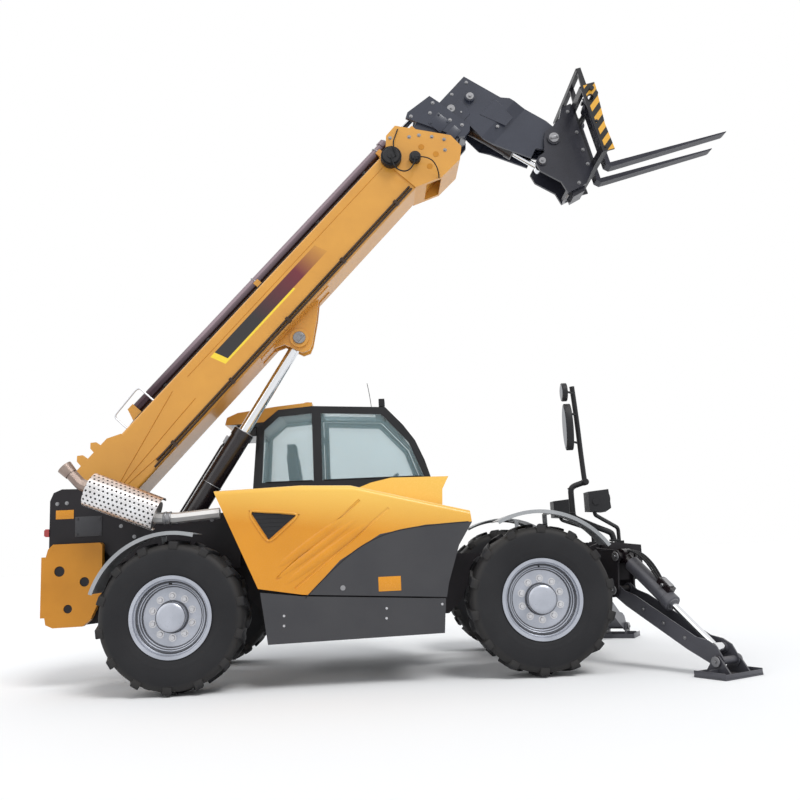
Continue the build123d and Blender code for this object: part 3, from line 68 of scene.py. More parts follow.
MACHINE = Matrix.Translation((-SHIFT, 0, 0))
BOOM = joint_frame("boom_lift", JOINT["telescope_mid"]["axis"])
FORK_PITCH = radians(13.7)
CARRIAGE = joint_frame("carriage_tilt", (cos(FORK_PITCH), 0, sin(FORK_PITCH)))
LIFT = joint_frame("lift_barrel_swing", JOINT["lift_stroke"]["axis"])
TILT = joint_frame("tilt_barrel_swing", JOINT["tilt_stroke"]["axis"])
LEG_YAW = radians(61)
LEG_SIDE = (sin(LEG_YAW), cos(LEG_YAW), 0)
LEG_DROP, LEG_REACH = 0.522, 1.05
LEG_LENGTH = (LEG_DROP ** 2 + LEG_REACH ** 2) ** 0.5
PAD_PIN_UP = 0.118
LEG = joint_frame(
    "stabiliser_right",
    (cos(LEG_YAW) * LEG_REACH, -sin(LEG_YAW) * LEG_REACH, -LEG_DROP),
    LEG_SIDE,
)
LEG_CYLINDER = joint_frame("leg_barrel_swing_right", JOINT["leg_stroke_right"]["axis"], LEG_SIDE)
PAD = frame_on(
    Vector(JOINT["pad_tilt_right"]["pos_m"]) - Vector((0, 0, PAD_PIN_UP)),
    (cos(LEG_YAW), -sin(LEG_YAW), 0),
    LEG_SIDE,
)


# Masks and patterns that several finishes share
class Nodes:
    """Short hand for placing and wiring the nodes of one tree."""

    def __init__(self, tree):
        self.tree = tree
        self.tree.nodes.clear()

    def add(self, kind, **values):
        node = self.tree.nodes.new(kind)
        for key, value in values.items():
            setattr(node, key, value)
        return node

    def wire(self, source, target):
        self.tree.links.new(source, target)

    def number(self, operation, a, b=0.0, clamp=False):
        """One arithmetic step; a and b are sockets or plain numbers."""
        node = self.add("ShaderNodeMath", operation=operation, use_clamp=clamp)
        for socket, value in zip(node.inputs, (a, b)):
            if isinstance(value, (int, float)):
                socket.default_value = value
            else:
                self.wire(value, socket)
        return node.outputs[0]

    def dot(self, vector, direction):
        node = self.add("ShaderNodeVectorMath", operation="DOT_PRODUCT")
        self.wire(vector, node.inputs[0])
        node.inputs[1].default_value = direction
        return node.outputs["Value"]

    def step(self, value, low, high):
        """0 below the first number, 1 above the second."""
        node = self.add("ShaderNodeMapRange")
        self.wire(value, node.inputs["Value"])
        node.inputs["From Min"].default_value = low
        node.inputs["From Max"].default_value = high
        return node.outputs["Result"]

    def length(self, a, b):
        """Distance whose two square parts are a and b."""
        squares = [self.number("MULTIPLY", part, part) for part in (a, b)]
        return self.number("SQRT", self.number("ADD", *squares))

    def band(self, value, low, high, soft=0.002):
        return self.number(
            "MULTIPLY", self.step(value, low - soft, low + soft), self.step(value, high + soft, high - soft)
        )

    def blend(self, factor, first, second):
        """Colour mix; colours are sockets or plain tuples."""
        node = self.add("ShaderNodeMix", data_type="RGBA")
        if isinstance(factor, (int, float)):
            node.inputs["Factor"].default_value = factor
        else:
            self.wire(factor, node.inputs["Factor"])
        for socket, colour in ((node.inputs[6], first), (node.inputs[7], second)):
            if isinstance(colour, tuple):
                socket.default_value = (*colour, 1)
            else:
                self.wire(colour, socket)
        return node.outputs[2]


def weathering():
    """Drift of tone, fine speckle and the dust that settles on upward faces."""
    group = bpy.data.node_groups.new("weathering", "ShaderNodeTree")
    for name in ("Drift scale", "Speck scale"):
        group.interface.new_socket(name, in_out="INPUT", socket_type="NodeSocketFloat")
    for name in ("Drift", "Speck", "Dust"):
        group.interface.new_socket(name, in_out="OUTPUT", socket_type="NodeSocketFloat")
    n = Nodes(group)
    given, result = n.add("NodeGroupInput"), n.add("NodeGroupOutput")
    place = n.add("ShaderNodeTexCoord").outputs["Object"]
    drift = n.add("ShaderNodeTexNoise")
    drift.inputs["Detail"].default_value = 5
    n.wire(place, drift.inputs["Vector"])
    n.wire(given.outputs["Drift scale"], drift.inputs["Scale"])
    speck = n.add("ShaderNodeTexNoise")
    speck.inputs["Detail"].default_value = 3
    n.wire(place, speck.inputs["Vector"])
    n.wire(given.outputs["Speck scale"], speck.inputs["Scale"])
    normal = n.add("ShaderNodeNewGeometry").outputs["Normal"]
    facing = n.step(n.dot(normal, (0, 0, 1)), 0.25, 0.95)
    patchy = n.step(drift.outputs["Fac"], 0.35, 0.7)
    n.wire(n.step(drift.outputs["Fac"], 0.3, 0.7), result.inputs["Drift"])
    n.wire(speck.outputs["Fac"], result.inputs["Speck"])
    n.wire(n.number("MULTIPLY", facing, patchy), result.inputs["Dust"])
    return group


WEATHERING = weathering()
DUST = (0.42, 0.38, 0.32)


def surfaced(name):
    """New material with one surface shader: the material, its nodes and the shader."""
    material = bpy.data.materials.new(name)
    material.use_nodes = True
    n = Nodes(material.node_tree)
    output = n.add("ShaderNodeOutputMaterial")
    surface = n.add("ShaderNodeBsdfPrincipled")
    n.wire(surface.outputs["BSDF"], output.inputs["Surface"])
    return material, n, surface


def finish(name, light, dark, rough, metallic=0.0, coat=0.0, dust=0.25, drift=2.5, speck=140.0,
           grain=0.04, gloss=0.5, pattern=None):
    """Painted, moulded or bare surface: two tones that drift, dust on top and a fine grain.

    A pattern gets the nodes, the place on the piece and the tone, and returns the patterned tone
    and, where the surface has holes or grooves, their height."""
    material, n, surface = surfaced(name)
    weather = n.add("ShaderNodeGroup", node_tree=WEATHERING)
    weather.inputs["Drift scale"].default_value = drift
    weather.inputs["Speck scale"].default_value = speck
    tone = n.blend(weather.outputs["Drift"], light, dark)
    height = weather.outputs["Speck"]
    place = n.add("ShaderNodeTexCoord").outputs["Object"]
    if pattern:
        tone, relief = pattern(n, place, tone)
        if relief is not None:
            height = n.number("ADD", relief, n.number("MULTIPLY", weather.outputs["Speck"], 0.1))
    settled = n.number("MULTIPLY", weather.outputs["Dust"], dust)
    n.wire(n.blend(settled, tone, DUST), surface.inputs["Base Color"])
    spread = n.number("MULTIPLY", n.number("SUBTRACT", weather.outputs["Speck"], 0.5), 0.25)
    n.wire(n.number("ADD", n.number("ADD", spread, rough), n.number("MULTIPLY", settled, 0.4), clamp=True),
           surface.inputs["Roughness"])
    surface.inputs["Metallic"].default_value = metallic
    surface.inputs["Specular IOR Level"].default_value = gloss
    surface.inputs["Coat Weight"].default_value = coat
    surface.inputs["Coat Roughness"].default_value = 0.12
    bump = n.add("ShaderNodeBump")
    bump.inputs["Strength"].default_value = min(1.0, grain * 4)
    bump.inputs["Distance"].default_value = 0.004
    n.wire(height, bump.inputs["Height"])
    n.wire(bump.outputs["Normal"], surface.inputs["Normal"])
    return material


def carrier_place(n, place, carrier):
    """Distances along, across and up from a carrier's frame."""
    origin, turn = carrier.to_translation(), carrier.to_3x3()
    offset = n.add("ShaderNodeVectorMath", operation="SUBTRACT")
    n.wire(place, offset.inputs[0])
    offset.inputs[1].default_value = origin
    return [n.dot(offset.outputs[0], turn.col[i]) for i in range(3)]


BAND_BOTTOM, BAND_TOP, BAND_START, BAND_END = 0.083, 0.217, 1.66, 3.10
LINE_BOTTOM, LINE_START, LINE_END = 0.062, 1.60, 2.60
LINE_YELLOW = (0.90, 0.66, 0.04)


def boom_band(n, place, tone):
    """Dark band on the boom's sides that warms to maroon, with a yellow line under it."""
    along, across, up = carrier_place(n, place, BOOM)
    side = n.step(n.number("ABSOLUTE", across), 0.2235, 0.2245)
    inside = n.number("MULTIPLY", side, n.step(n.number("ABSOLUTE", across), 0.2275, 0.2265))
    slant = n.number("SUBTRACT", along, n.number("MULTIPLY", up, -0.3))
    strip = n.number("MULTIPLY", n.band(up, BAND_BOTTOM, BAND_TOP), n.band(slant, BAND_START, BAND_END))
    colour = n.blend(n.step(along, 2.1, 2.75), (0.010, 0.009, 0.010), (0.14, 0.008, 0.020))
    fade = n.step(along, 3.08, 2.72)
    strip = n.number("MULTIPLY", strip, n.number("ADD", n.number("MULTIPLY", fade, 0.9), 0.1))
    line = n.number("MULTIPLY", n.band(up, LINE_BOTTOM, BAND_BOTTOM), n.band(slant, LINE_START, LINE_END))
    cap = n.number("MULTIPLY", n.band(up, LINE_BOTTOM, BAND_TOP), n.band(slant, LINE_START, BAND_START))
    tone = n.blend(n.number("MULTIPLY", inside, n.number("MAXIMUM", line, cap)), tone, LINE_YELLOW)
    return n.blend(n.number("MULTIPLY", inside, strip), tone, colour), None


def telescope_painted_highlight(n, place, tone):
    """Maroon steel with a painted highlight along the tube's upper run; its foot and underside keep the dark
    tone.
    """
    along, _, up = carrier_place(n, place, BOOM)
    # Painted highlight: the light strip that the glossy tube would reflect along its upper run.
    bright = n.number("MULTIPLY", n.step(along, 0.9, 1.7), n.step(up, 0.41, 0.47))
    return n.blend(bright, tone, (0.21, 0.16, 0.18)), None


def pipe_tones(n, place, tone):
    """Bronze pipes below, with the guard hoop above them in bright wire."""
    _, _, up = carrier_place(n, place, BOOM)
    return n.blend(n.step(up, 0.20, 0.25), tone, (0.60, 0.60, 0.62)), None


def heat_tint(n, place, tone):
    """Bright inlet pipe, and a tail pipe that the heat has browned."""
    along, _, _ = carrier_place(n, place, MACHINE)
    return n.blend(n.step(along, -0.62, -0.30), tone, (0.62, 0.61, 0.60)), None


def roof_tones(n, place, tone):
    """Yellow cap over a black underside."""
    along, _, up = carrier_place(n, place, MACHINE)
    rise = n.number("SUBTRACT", up, n.number("MULTIPLY", along, 0.05))
    return n.blend(n.step(rise, 2.384, 2.388), tone, (0.70, 0.34, 0.05)), None


def hazard_stripes(n, place, tone):
    """Yellow and black slanting stripes on the outer plates of the fork frame."""
    along, across, up = carrier_place(n, place, CARRIAGE)
    lean = n.number("SUBTRACT", up, n.number("MULTIPLY", along, 0.8))
    wave = n.number("SINE", n.number("MULTIPLY", lean, 50.0))
    face = n.step(n.number("ABSOLUTE", across), 0.546, 0.549)
    edge = n.number("MULTIPLY", n.step(along, 0.318, 0.322), n.band(up, -0.42, 0.292, 0.003))
    mask = n.number("MULTIPLY", face, edge)
    stripe = n.blend(n.step(wave, -0.05, 0.05), (0.012, 0.012, 0.012), (0.76, 0.40, 0.05))
    return n.blend(mask, tone, stripe), None


def perforation(centre, axis, radius, pitch, dark=(0.012, 0.012, 0.012)):
    """Rows of round holes on a cylindrical sheet, painted near black as the shade seen through them; the
    sheet turns copper towards its underside.
    """
    def pattern(n, place, tone):
        carrier = frame_on(centre, axis)
        along, across, up = carrier_place(n, place, carrier)
        turn = n.number("MULTIPLY", n.number("ARCTAN2", across, up), radius)
        row = n.number("FLOOR", n.number("DIVIDE", turn, pitch))
        shifted = n.number("ADD", along, n.number("MULTIPLY", n.number("PINGPONG", row, 1.0), pitch / 2))
        u = n.number("SUBTRACT", n.number("FRACT", n.number("DIVIDE", shifted, pitch)), 0.5)
        v = n.number("SUBTRACT", n.number("FRACT", n.number("DIVIDE", turn, pitch)), 0.5)
        reach = n.length(u, v)
        # Painted shade: the holes get a near-black colour for the shade seen through them.
        hole = n.step(reach, 0.25, 0.21)
        warm = n.blend(n.step(up, -0.05, -0.16), tone, (0.60, 0.42, 0.32))
        return n.blend(hole, warm, dark), n.step(reach, 0.21, 0.25)
    return pattern


def tread_and_wall(x):
    """Moulded rings on the tyre's wall and dry dust between the lugs."""
    def pattern(n, place, tone):
        along, _, up = carrier_place(n, place, frame_on((x - SHIFT, 0, AXLE_Z), (1, 0, 0)))
        reach = n.length(along, up)
        rings = n.number("SINE", n.number("MULTIPLY", reach, 130.0))
        wall = n.band(reach, 0.36, 0.42, 0.01)
        relief = n.number("MULTIPLY", n.number("MULTIPLY", rings, wall), 0.12)
        dusty = n.number("MULTIPLY", n.band(reach, 0.54, 0.592, 0.015), 0.12)
        return n.blend(dusty, tone, (0.10, 0.09, 0.075)), n.number("ADD", relief, 0.5)
    return pattern


def hood_painted_top_light(n, place, tone):
    """Painted light: a paler tone towards the hood's top, where the light falls on it."""
    along, _, up = carrier_place(n, place, MACHINE)
    # Mask of the painted light, rising towards the top edge.
    shade = n.step(n.number("ADD", up, n.number("MULTIPLY", along, 0.12)), 1.42, 1.80)
    return n.blend(n.number("MULTIPLY", shade, 0.9), tone, (0.95, 0.62, 0.13)), None


def glass(name, tint):
    """Tinted glazing."""
    material, n, surface = surfaced(name)
    smear = n.add("ShaderNodeTexNoise")
    smear.inputs["Scale"].default_value = 3.0
    n.wire(n.add("ShaderNodeTexCoord").outputs["Object"], smear.inputs["Vector"])
    n.wire(n.blend(n.step(smear.outputs["Fac"], 0.3, 0.8), tint, tuple(0.88 * c for c in tint)),
           surface.inputs["Base Color"])
    smudge = n.number("MULTIPLY", smear.outputs["Fac"], 0.05)
    n.wire(n.number("ADD", smudge, 0.01), surface.inputs["Roughness"])
    surface.inputs["IOR"].default_value = 1.45
    surface.inputs["Transmission Weight"].default_value = 0.35
    surface.inputs["Alpha"].default_value = 0.30
    return material


SHIELD_AT = (-0.50 - SHIFT, -0.72, 1.594)
SHIELD_AXIS = (-0.595, 0, 0.244)
PAINT = {
    "boom_yellow": finish(
        "boom_paint", (0.70, 0.335, 0.050), (0.62, 0.285, 0.042), 0.38, coat=0.3, dust=0.10,
        pattern=boom_band,
    ),
    "ballast_yellow": finish(
        "ballast_paint", (0.60, 0.250, 0.022), (0.50, 0.200, 0.016), 0.42, coat=0.1, dust=0.06, gloss=0.3,
    ),
    # Hood yellow, with painted light towards the top from its pattern.
    "hood_yellow": finish(
        "hood_paint", (0.72, 0.290, 0.014), (0.66, 0.260, 0.012), 0.26, coat=0.25, dust=0.02, gloss=0.35,
        pattern=hood_painted_top_light,
    ),
    "chassis_charcoal": finish(
        "chassis_paint", (0.022, 0.019, 0.022), (0.013, 0.012, 0.014), 0.48, dust=0.18, gloss=0.25,
    ),
    "panel_grey": finish(
        "panel_paint", (0.050, 0.050, 0.054), (0.038, 0.038, 0.043), 0.40, coat=0.1, dust=0.12,
        gloss=0.35,
    ),
    "head_blue_grey": finish(
        "head_paint", (0.036, 0.041, 0.060), (0.024, 0.027, 0.042), 0.34, coat=0.2, dust=0.10, gloss=0.4,
    ),
    "carriage_black": finish(
        "carriage_paint", (0.030, 0.031, 0.042), (0.018, 0.018, 0.026), 0.32, coat=0.15, dust=0.08,
        gloss=0.4,
    ),
    "cylinder_black": finish(
        "cylinder_paint", (0.016, 0.011, 0.013), (0.009, 0.006, 0.008), 0.26, coat=0.3, dust=0.05,
        gloss=0.4,
    ),
    # Dark maroon steel, with a painted highlight along the upper run from its pattern.
    "telescope_steel": finish(
        "telescope_steel", (0.060, 0.036, 0.044), (0.030, 0.018, 0.024), 0.24, metallic=0.85, dust=0.04,
        pattern=telescope_painted_highlight,
    ),
    "fork_frame": finish(
        "fork_frame_paint", (0.014, 0.014, 0.018), (0.008, 0.008, 0.011), 0.40, coat=0.08, dust=0.06,
        gloss=0.3, pattern=hazard_stripes,
    ),
    "fork_steel": finish(
        "fork_steel", (0.034, 0.035, 0.046), (0.018, 0.018, 0.026), 0.38, metallic=0.4, dust=0.05,
        grain=0.08, gloss=0.35,
    ),
    "stabiliser_grey": finish(
        "stabiliser_paint", (0.085, 0.085, 0.098), (0.055, 0.055, 0.066), 0.40, coat=0.15, dust=0.15,
        gloss=0.4,
    ),
    "rim_silver": finish(
        "rim_paint", (0.48, 0.50, 0.56), (0.36, 0.38, 0.43), 0.32, metallic=0.55, coat=0.2, dust=0.08,
        drift=5.0,
    ),
    # Dark grey of the painted shadow lines in the rim's steps and round the hub cap.
    "rim_painted_shadow": finish(
        "rim_painted_shadow", (0.11, 0.115, 0.13), (0.07, 0.072, 0.082), 0.5, metallic=0.3, dust=0.1,
    ),
    "cab_black": finish(
        "cab_paint", (0.015, 0.016, 0.019), (0.009, 0.009, 0.011), 0.32, coat=0.15, dust=0.08, gloss=0.3,
    ),
    "roof_cap": finish(
        "roof_cap_paint", (0.015, 0.016, 0.019), (0.009, 0.009, 0.011), 0.32, coat=0.2, dust=0.05,
        gloss=0.35, pattern=roof_tones,
    ),
    "lamp_black": finish(
        "lamp_housing", (0.016, 0.016, 0.018), (0.010, 0.010, 0.012), 0.46, grain=0.12, dust=0.08,
        gloss=0.3,
    ),
    "cap_black": finish(
        "cap_moulding", (0.020, 0.020, 0.022), (0.012, 0.012, 0.014), 0.50, grain=0.14, dust=0.08,
        gloss=0.3,
    ),
    "tank_black": finish("tank_moulding", (0.030, 0.030, 0.033), (0.020, 0.020, 0.022), 0.58, grain=0.16),
    "interior_dark": finish(
        "seat_cloth", (0.050, 0.050, 0.056), (0.030, 0.030, 0.034), 0.85, grain=0.22, speck=420.0,
        dust=0.0,
    ),
    "engine_grey": finish(
        "engine_casting", (0.075, 0.075, 0.080), (0.050, 0.050, 0.054), 0.62, metallic=0.3, grain=0.2,
    ),
    "fender_grey": finish(
        "fender_moulding", (0.36, 0.37, 0.38), (0.27, 0.28, 0.29), 0.42, grain=0.08, dust=0.15,
    ),
    "axle_grey": finish(
        "axle_casting", (0.045, 0.045, 0.050), (0.030, 0.030, 0.034), 0.55, grain=0.16, dust=0.3,
    ),
    "steel_silver": finish(
        "bright_steel", (0.62, 0.62, 0.64), (0.52, 0.52, 0.54), 0.30, metallic=1.0, dust=0.1, grain=0.05,
    ),
    "shield_steel": finish(
        "perforated_sheet", (0.84, 0.84, 0.85), (0.62, 0.60, 0.60), 0.26, metallic=0.75, dust=0.03,
        grain=0.1, drift=5.0, pattern=perforation(SHIELD_AT, SHIELD_AXIS, 0.152, 0.041),
    ),
    "exhaust_steel": finish(
        "exhaust_steel", (0.36, 0.29, 0.25), (0.22, 0.16, 0.14), 0.36, metallic=0.9, dust=0.05, grain=0.1,
        drift=6.0, pattern=heat_tint,
    ),
    "pipe_bronze": finish(
        "pipe_bronze", (0.075, 0.050, 0.036), (0.040, 0.026, 0.020), 0.36, metallic=0.7, dust=0.05,
        pattern=pipe_tones,
    ),
    "rod_chrome": finish(
        "rod_chrome", (0.80, 0.81, 0.83), (0.74, 0.75, 0.77), 0.13, metallic=1.0, dust=0.03, grain=0.01,
    ),
    "bolt_steel": finish(
        "bolt_steel", (0.34, 0.34, 0.35), (0.22, 0.22, 0.23), 0.38, metallic=0.9, dust=0.15,
    ),
    "hose_rubber": finish(
        "hose_rubber", (0.016, 0.016, 0.018), (0.010, 0.010, 0.011), 0.56, grain=0.2, speck=500.0,
        dust=0.06, gloss=0.25,
    ),
    "lens_clear": finish(
        "lamp_lens", (0.72, 0.74, 0.76), (0.62, 0.64, 0.66), 0.10, metallic=0.2, coat=1.0, dust=0.0,
        grain=0.0,
    ),
    "lamp_red": finish("red_lens", (0.42, 0.012, 0.012), (0.34, 0.010, 0.010), 0.18, coat=0.9, dust=0.05),
    "lens_amber": finish("amber_lens", (0.78, 0.25, 0.02), (0.68, 0.20, 0.015), 0.18, coat=0.9, dust=0.05),
    "mirror_face": finish(
        "mirror_face", (0.10, 0.11, 0.13), (0.07, 0.08, 0.10), 0.06, metallic=1.0, dust=0.0, grain=0.0,
    ),
    "glass_teal": glass("cab_glazing", (0.46, 0.68, 0.74)),
    "tyre_front": finish(
        "front_rubber", (0.016, 0.016, 0.018), (0.009, 0.009, 0.011), 0.62, grain=0.25, dust=0.06,
        gloss=0.3, pattern=tread_and_wall(WHEELBASE),
    ),
    "tyre_rear": finish(
        "rear_rubber", (0.016, 0.016, 0.018), (0.009, 0.009, 0.011), 0.62, grain=0.25, dust=0.06,
        gloss=0.3, pattern=tread_and_wall(0.0),
    ),
}

OWN_PAINT = {
    "counterweight": "ballast_yellow", "fork_frame": "fork_frame", "forks": "fork_steel",
    "exhaust_shield": "shield_steel", "front_axle": "axle_grey", "rear_axle": "axle_grey",
    "lift_barrel": "cylinder_black", "tilt_barrel": "cylinder_black", "leg_barrel_right": "cylinder_black",
    "leg_barrel_left": "cylinder_black", "boom_pipes": "pipe_bronze", "telescope_barrel": "telescope_steel",
    "cab_roof_cap": "roof_cap",
}


def dress_model():
    """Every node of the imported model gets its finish."""
    slots = {part["node"]: part["material_slot"] for part in frame["record"]["subparts"]}
    for name, node in frame["nodes"].items():
        key = OWN_PAINT.get(name, slots[name])
        if name.startswith("tyre_"):
            key = "tyre_front" if "front" in name else "tyre_rear"
        if not node.material_slots:
            node.data.materials.append(PAINT[key])
        for slot in node.material_slots:
            slot.material = PAINT[key]


# Modelling: each helper leaves one mesh object
def alone(*pieces):
    """Only these pieces are selected, the first one active."""
    bpy.ops.object.select_all(action="DESELECT")
    for piece in pieces:
        piece.select_set(True)
    if pieces:
        bpy.context.view_layer.objects.active = pieces[0]


@contextmanager
def editing(piece, action="SELECT"):
    """Edit mode on one piece, with all or nothing of it selected."""
    alone(piece)
    bpy.ops.object.mode_set(mode="EDIT")
    bpy.ops.mesh.select_all(action=action)
    yield
    bpy.ops.object.mode_set(mode="OBJECT")


def settle():
    """Place, turn and scale of what is selected go into its mesh."""
    bpy.ops.object.transform_apply(location=True, rotation=True, scale=True)


def rounded(piece, offset, segments=2):
    """Bevel on every sharp edge."""
    alone(piece)
    settle()
    if offset:
        with editing(piece):
            bpy.ops.mesh.bevel(offset=offset, segments=segments, affect="EDGES", clamp_overlap=True)
    return piece


def block(low, high, bevel=0.003):
    """Rounded block between two corners."""
    alone()
    low, high = Vector(low), Vector(high)
    bpy.ops.mesh.primitive_cube_add(size=1, location=(low + high) / 2, scale=high - low)
    return rounded(bpy.context.object, bevel)


def disc(start, end, radius, bevel=0.002, sides=28, tip=None):
    """Turned piece from a point to a point, with a chamfer; a tip radius makes it taper."""
    alone()
    start, end = Vector(start), Vector(end)
    run = end - start
    bpy.ops.mesh.primitive_cone_add(
        vertices=sides, radius1=radius, radius2=radius if tip is None else tip, depth=run.length,
        location=(start + end) / 2, rotation=run.to_track_quat("Z", "Y").to_euler(),
    )
    return rounded(bpy.context.object, bevel, 1)


def bolt(at, out, size=0.014, washer=True):
    """Hexagon head on a washer, standing on a face that looks along out."""
    at, out = Vector(at), Vector(out).normalized()
    pieces = [disc(at, at + out * size * 0.85, size, size * 0.1, 6)]
    if washer:
        pieces.append(disc(at, at + out * size * 0.18, size * 1.45, 0, 16))
    return together(pieces)


def ring(centre, axis, radius, thick):
    """Round wire bent to a ring."""
    alone()
    bpy.ops.mesh.primitive_torus_add(
        location=centre, rotation=Vector(axis).to_track_quat("Z", "Y").to_euler(), major_radius=radius,
        minor_radius=thick, major_segments=40, minor_segments=8,
    )
    return rounded(bpy.context.object, 0)


def pipe(points, radius, sides=3):
    """Tube that follows a smooth line through a few points."""
    alone()
    curve = bpy.data.curves.new("line", "CURVE")
    curve.dimensions = "3D"
    spline = curve.splines.new("NURBS")
    spline.points.add(len(points) - 1)
    for point, place in zip(spline.points, points):
        point.co = (*place, 1)
    spline.order_u = 3
    spline.use_endpoint_u = True
    curve.resolution_u = 8
    curve.bevel_depth = radius
    curve.bevel_resolution = sides
    curve.use_fill_caps = True
    piece = bpy.data.objects.new("line", curve)
    bpy.context.collection.objects.link(piece)
    alone(piece)
    bpy.ops.object.convert(target="MESH")
    return bpy.context.object


WELD = 0.00002


def outline_of(points, fill):
    """Closed line of points, shaped from a circle with as many corners."""
    alone()
    bpy.ops.mesh.primitive_circle_add(vertices=len(points), fill_type=fill)
    piece = bpy.context.object
    for vertex, point in zip(piece.data.vertices, points):
        vertex.co = point
    return piece


def drawn(points, way, bevel=0.0015, segments=1):
    """Flat outline drawn out along a direction, with its edges broken."""
    piece = outline_of(points, "NGON")
    with editing(piece):
        bpy.ops.mesh.extrude_region_move(TRANSFORM_OT_translate={"value": way})
        bpy.ops.mesh.select_all(action="SELECT")
        bpy.ops.mesh.normals_make_consistent(inside=False)
    return rounded(piece, bevel, segments)


def plate(outline, y0, y1, bevel=0.0015):
    """Flat plate with a side-view outline."""
    return drawn([(x, y0, z) for x, z in outline], (0, y1 - y0, 0), bevel)


def turned(profile, steps=120):
    """Closed profile of width and radius, spun round the wheel's axle."""
    piece = outline_of([(0, y, r) for y, r in profile], "NOTHING")
    with editing(piece):
        bpy.ops.mesh.spin(steps=steps, angle=tau, center=(0, 0, 0), axis=(0, 1, 0))
        bpy.ops.mesh.select_all(action="SELECT")
        bpy.ops.mesh.remove_doubles(threshold=WELD)
        bpy.ops.mesh.normals_make_consistent(inside=False)
    return piece


def softened(node, offset, near):
    """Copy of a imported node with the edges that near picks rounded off."""
    original = frame["nodes"][node]
    piece = original.copy()
    piece.data = original.data.copy()
    bpy.context.collection.objects.link(piece)
    with editing(piece):
        bpy.ops.mesh.remove_doubles(threshold=WELD)
        bpy.ops.mesh.dissolve_limited(angle_limit=radians(0.5))
        bpy.ops.mesh.select_all(action="DESELECT")
    mesh = piece.data
    for edge in mesh.edges:
        edge.select = all(near(mesh.vertices[i].co) for i in edge.vertices)
    bpy.ops.object.mode_set(mode="EDIT")
    bpy.ops.mesh.select_mode(type="EDGE")
    bpy.ops.mesh.bevel(offset=offset, segments=5, affect="EDGES", clamp_overlap=True)
    bpy.ops.mesh.select_mode(type="VERT")
    bpy.ops.object.mode_set(mode="OBJECT")
    return piece


def together(pieces):
    alone(*pieces)
    if len(pieces) > 1:
        bpy.ops.object.join()
    return bpy.context.object


def copied(piece, places):
    """The piece at each place, every copy with its own mesh; the first one is used up."""
    made = []
    for place in places:
        twin = piece.copy()
        twin.data = piece.data.copy()
        bpy.context.collection.objects.link(twin)
        twin.matrix_world = place @ twin.matrix_world
        made.append(twin)
    bpy.data.objects.remove(piece)
    alone(*made)
    settle()
    return together(made)


def fit(name, pieces, body, paint, carrier=MACHINE, mirror_body=None):
    """Joins the pieces, puts them on their carrier, paints them and lets them ride.

    With a mirror body, a mirrored twin rides on the machine's other side."""
    piece = together(pieces)
    piece.name = name
    piece.matrix_world = carrier @ piece.matrix_world
    alone(piece)
    settle()
    piece.data.materials.clear()
    piece.data.materials.append(PAINT[paint])
    bpy.ops.object.shade_smooth_by_angle(angle=radians(38))
    made = [(piece, body)]
    if mirror_body:
        twin = piece.copy()
        twin.data = piece.data.copy()
        twin.name = name + "_left"
        bpy.context.collection.objects.link(twin)
        twin.scale = (1, -1, 1)
        alone(twin)
        settle()
        with editing(twin):
            bpy.ops.mesh.normals_make_consistent(inside=False)
        made.append((twin, mirror_body))
    for one, rider in made:
        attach(one, rider)
    return piece


def steel(name, pieces, body, carrier=MACHINE, mirror_body=None):
    """Bolts, pins and clamps of bare steel."""
    return fit(name, pieces, body, "bolt_steel", carrier, mirror_body)


# Wheels
TYRE_PROFILE = (
    (0.162, 0.3053), (0.176, 0.330), (0.189, 0.375), (0.196, 0.430), (0.197, 0.485), (0.194, 0.535),
    (0.186, 0.562), (0.168, 0.580), (0.120, 0.590), (0.050, 0.592),
)
LUG_PLAN = ((-0.078, 0.198), (-0.004, 0.198), (0.014, 0.100), (0.060, -0.020), (0.0, -0.020), (-0.046, 0.100))
LUGS = 14
LUG_ROOT, LUG_HEIGHT = 0.540, 0.077
SHOULDER_START, SHOULDER_WIDTH, SHOULDER_DROP = 0.150, 0.048, 0.018
WHEEL_Y = 0.99
HUB_DOME = ((0.168, 0.0), (0.168, 0.117), (0.176, 0.117), (0.184, 0.108), (0.188, 0.085), (0.190, 0.0))
NUTS, NUT_CIRCLE, NUT_SIZE = 10, 0.1675, 0.0215
DISC_FACE = 0.0952
# Depth, radius and wire of the rings on the dish
RIM_STEPS = ((0.112, 0.253, 0.007), (0.128, 0.269, 0.007), (0.158, 0.296, 0.006))
# Depth, radius and wire of the painted shadow lines: dark rings in the rim's steps and round the hub cap
RIM_SHADOW_RINGS = (
    (0.0955, 0.128, 0.0055), (0.1005, 0.243, 0.006), (0.119, 0.262, 0.006), (0.140, 0.282, 0.005),
    (0.176, 0.119, 0.003),
)
AXLES = (("front", WHEELBASE), ("rear", 0.0))


def tyres():
    """Round carcass with the two rows of lugs, in place of each faceted solid."""
    profile = list(TYRE_PROFILE) + [(-y, r) for y, r in reversed(TYRE_PROFILE)]
    for end, x in AXLES:
        for side, way in (("left", 1), ("right", -1)):
            pieces = [turned(profile)]
            for row, start in ((1, 0.5), (-1, 1.5)):
                plan = [(t, way * row * y, LUG_ROOT) for t, y in LUG_PLAN]
                lug = drawn(plan, (0, 0, LUG_HEIGHT), 0.007, 2)
                for vertex in lug.data.vertices:
                    shoulder = max(0.0, abs(vertex.co.y) - SHOULDER_START) / SHOULDER_WIDTH
                    if vertex.co.z > LUG_ROOT + LUG_HEIGHT / 2:
                        vertex.co.z -= SHOULDER_DROP * shoulder ** 2
                turns = [(2 * i + start) * pi / LUGS for i in range(LUGS)]
                pieces.append(copied(lug, [Matrix.Rotation(turn, 4, "Y") for turn in turns]))
            spot = Matrix.Translation((x - SHIFT, way * WHEEL_Y, AXLE_Z))
            tread, body = f"tread_{end}_{side}", f"wheel_{end}_{side}"
            piece = fit(tread, pieces, body, f"tyre_{end}", spot)
            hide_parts(f"tyre_{end}_{side}")


def rings(measures):
    return [ring((0, y, 0), (0, 1, 0), r, thick) for y, r, thick in measures]


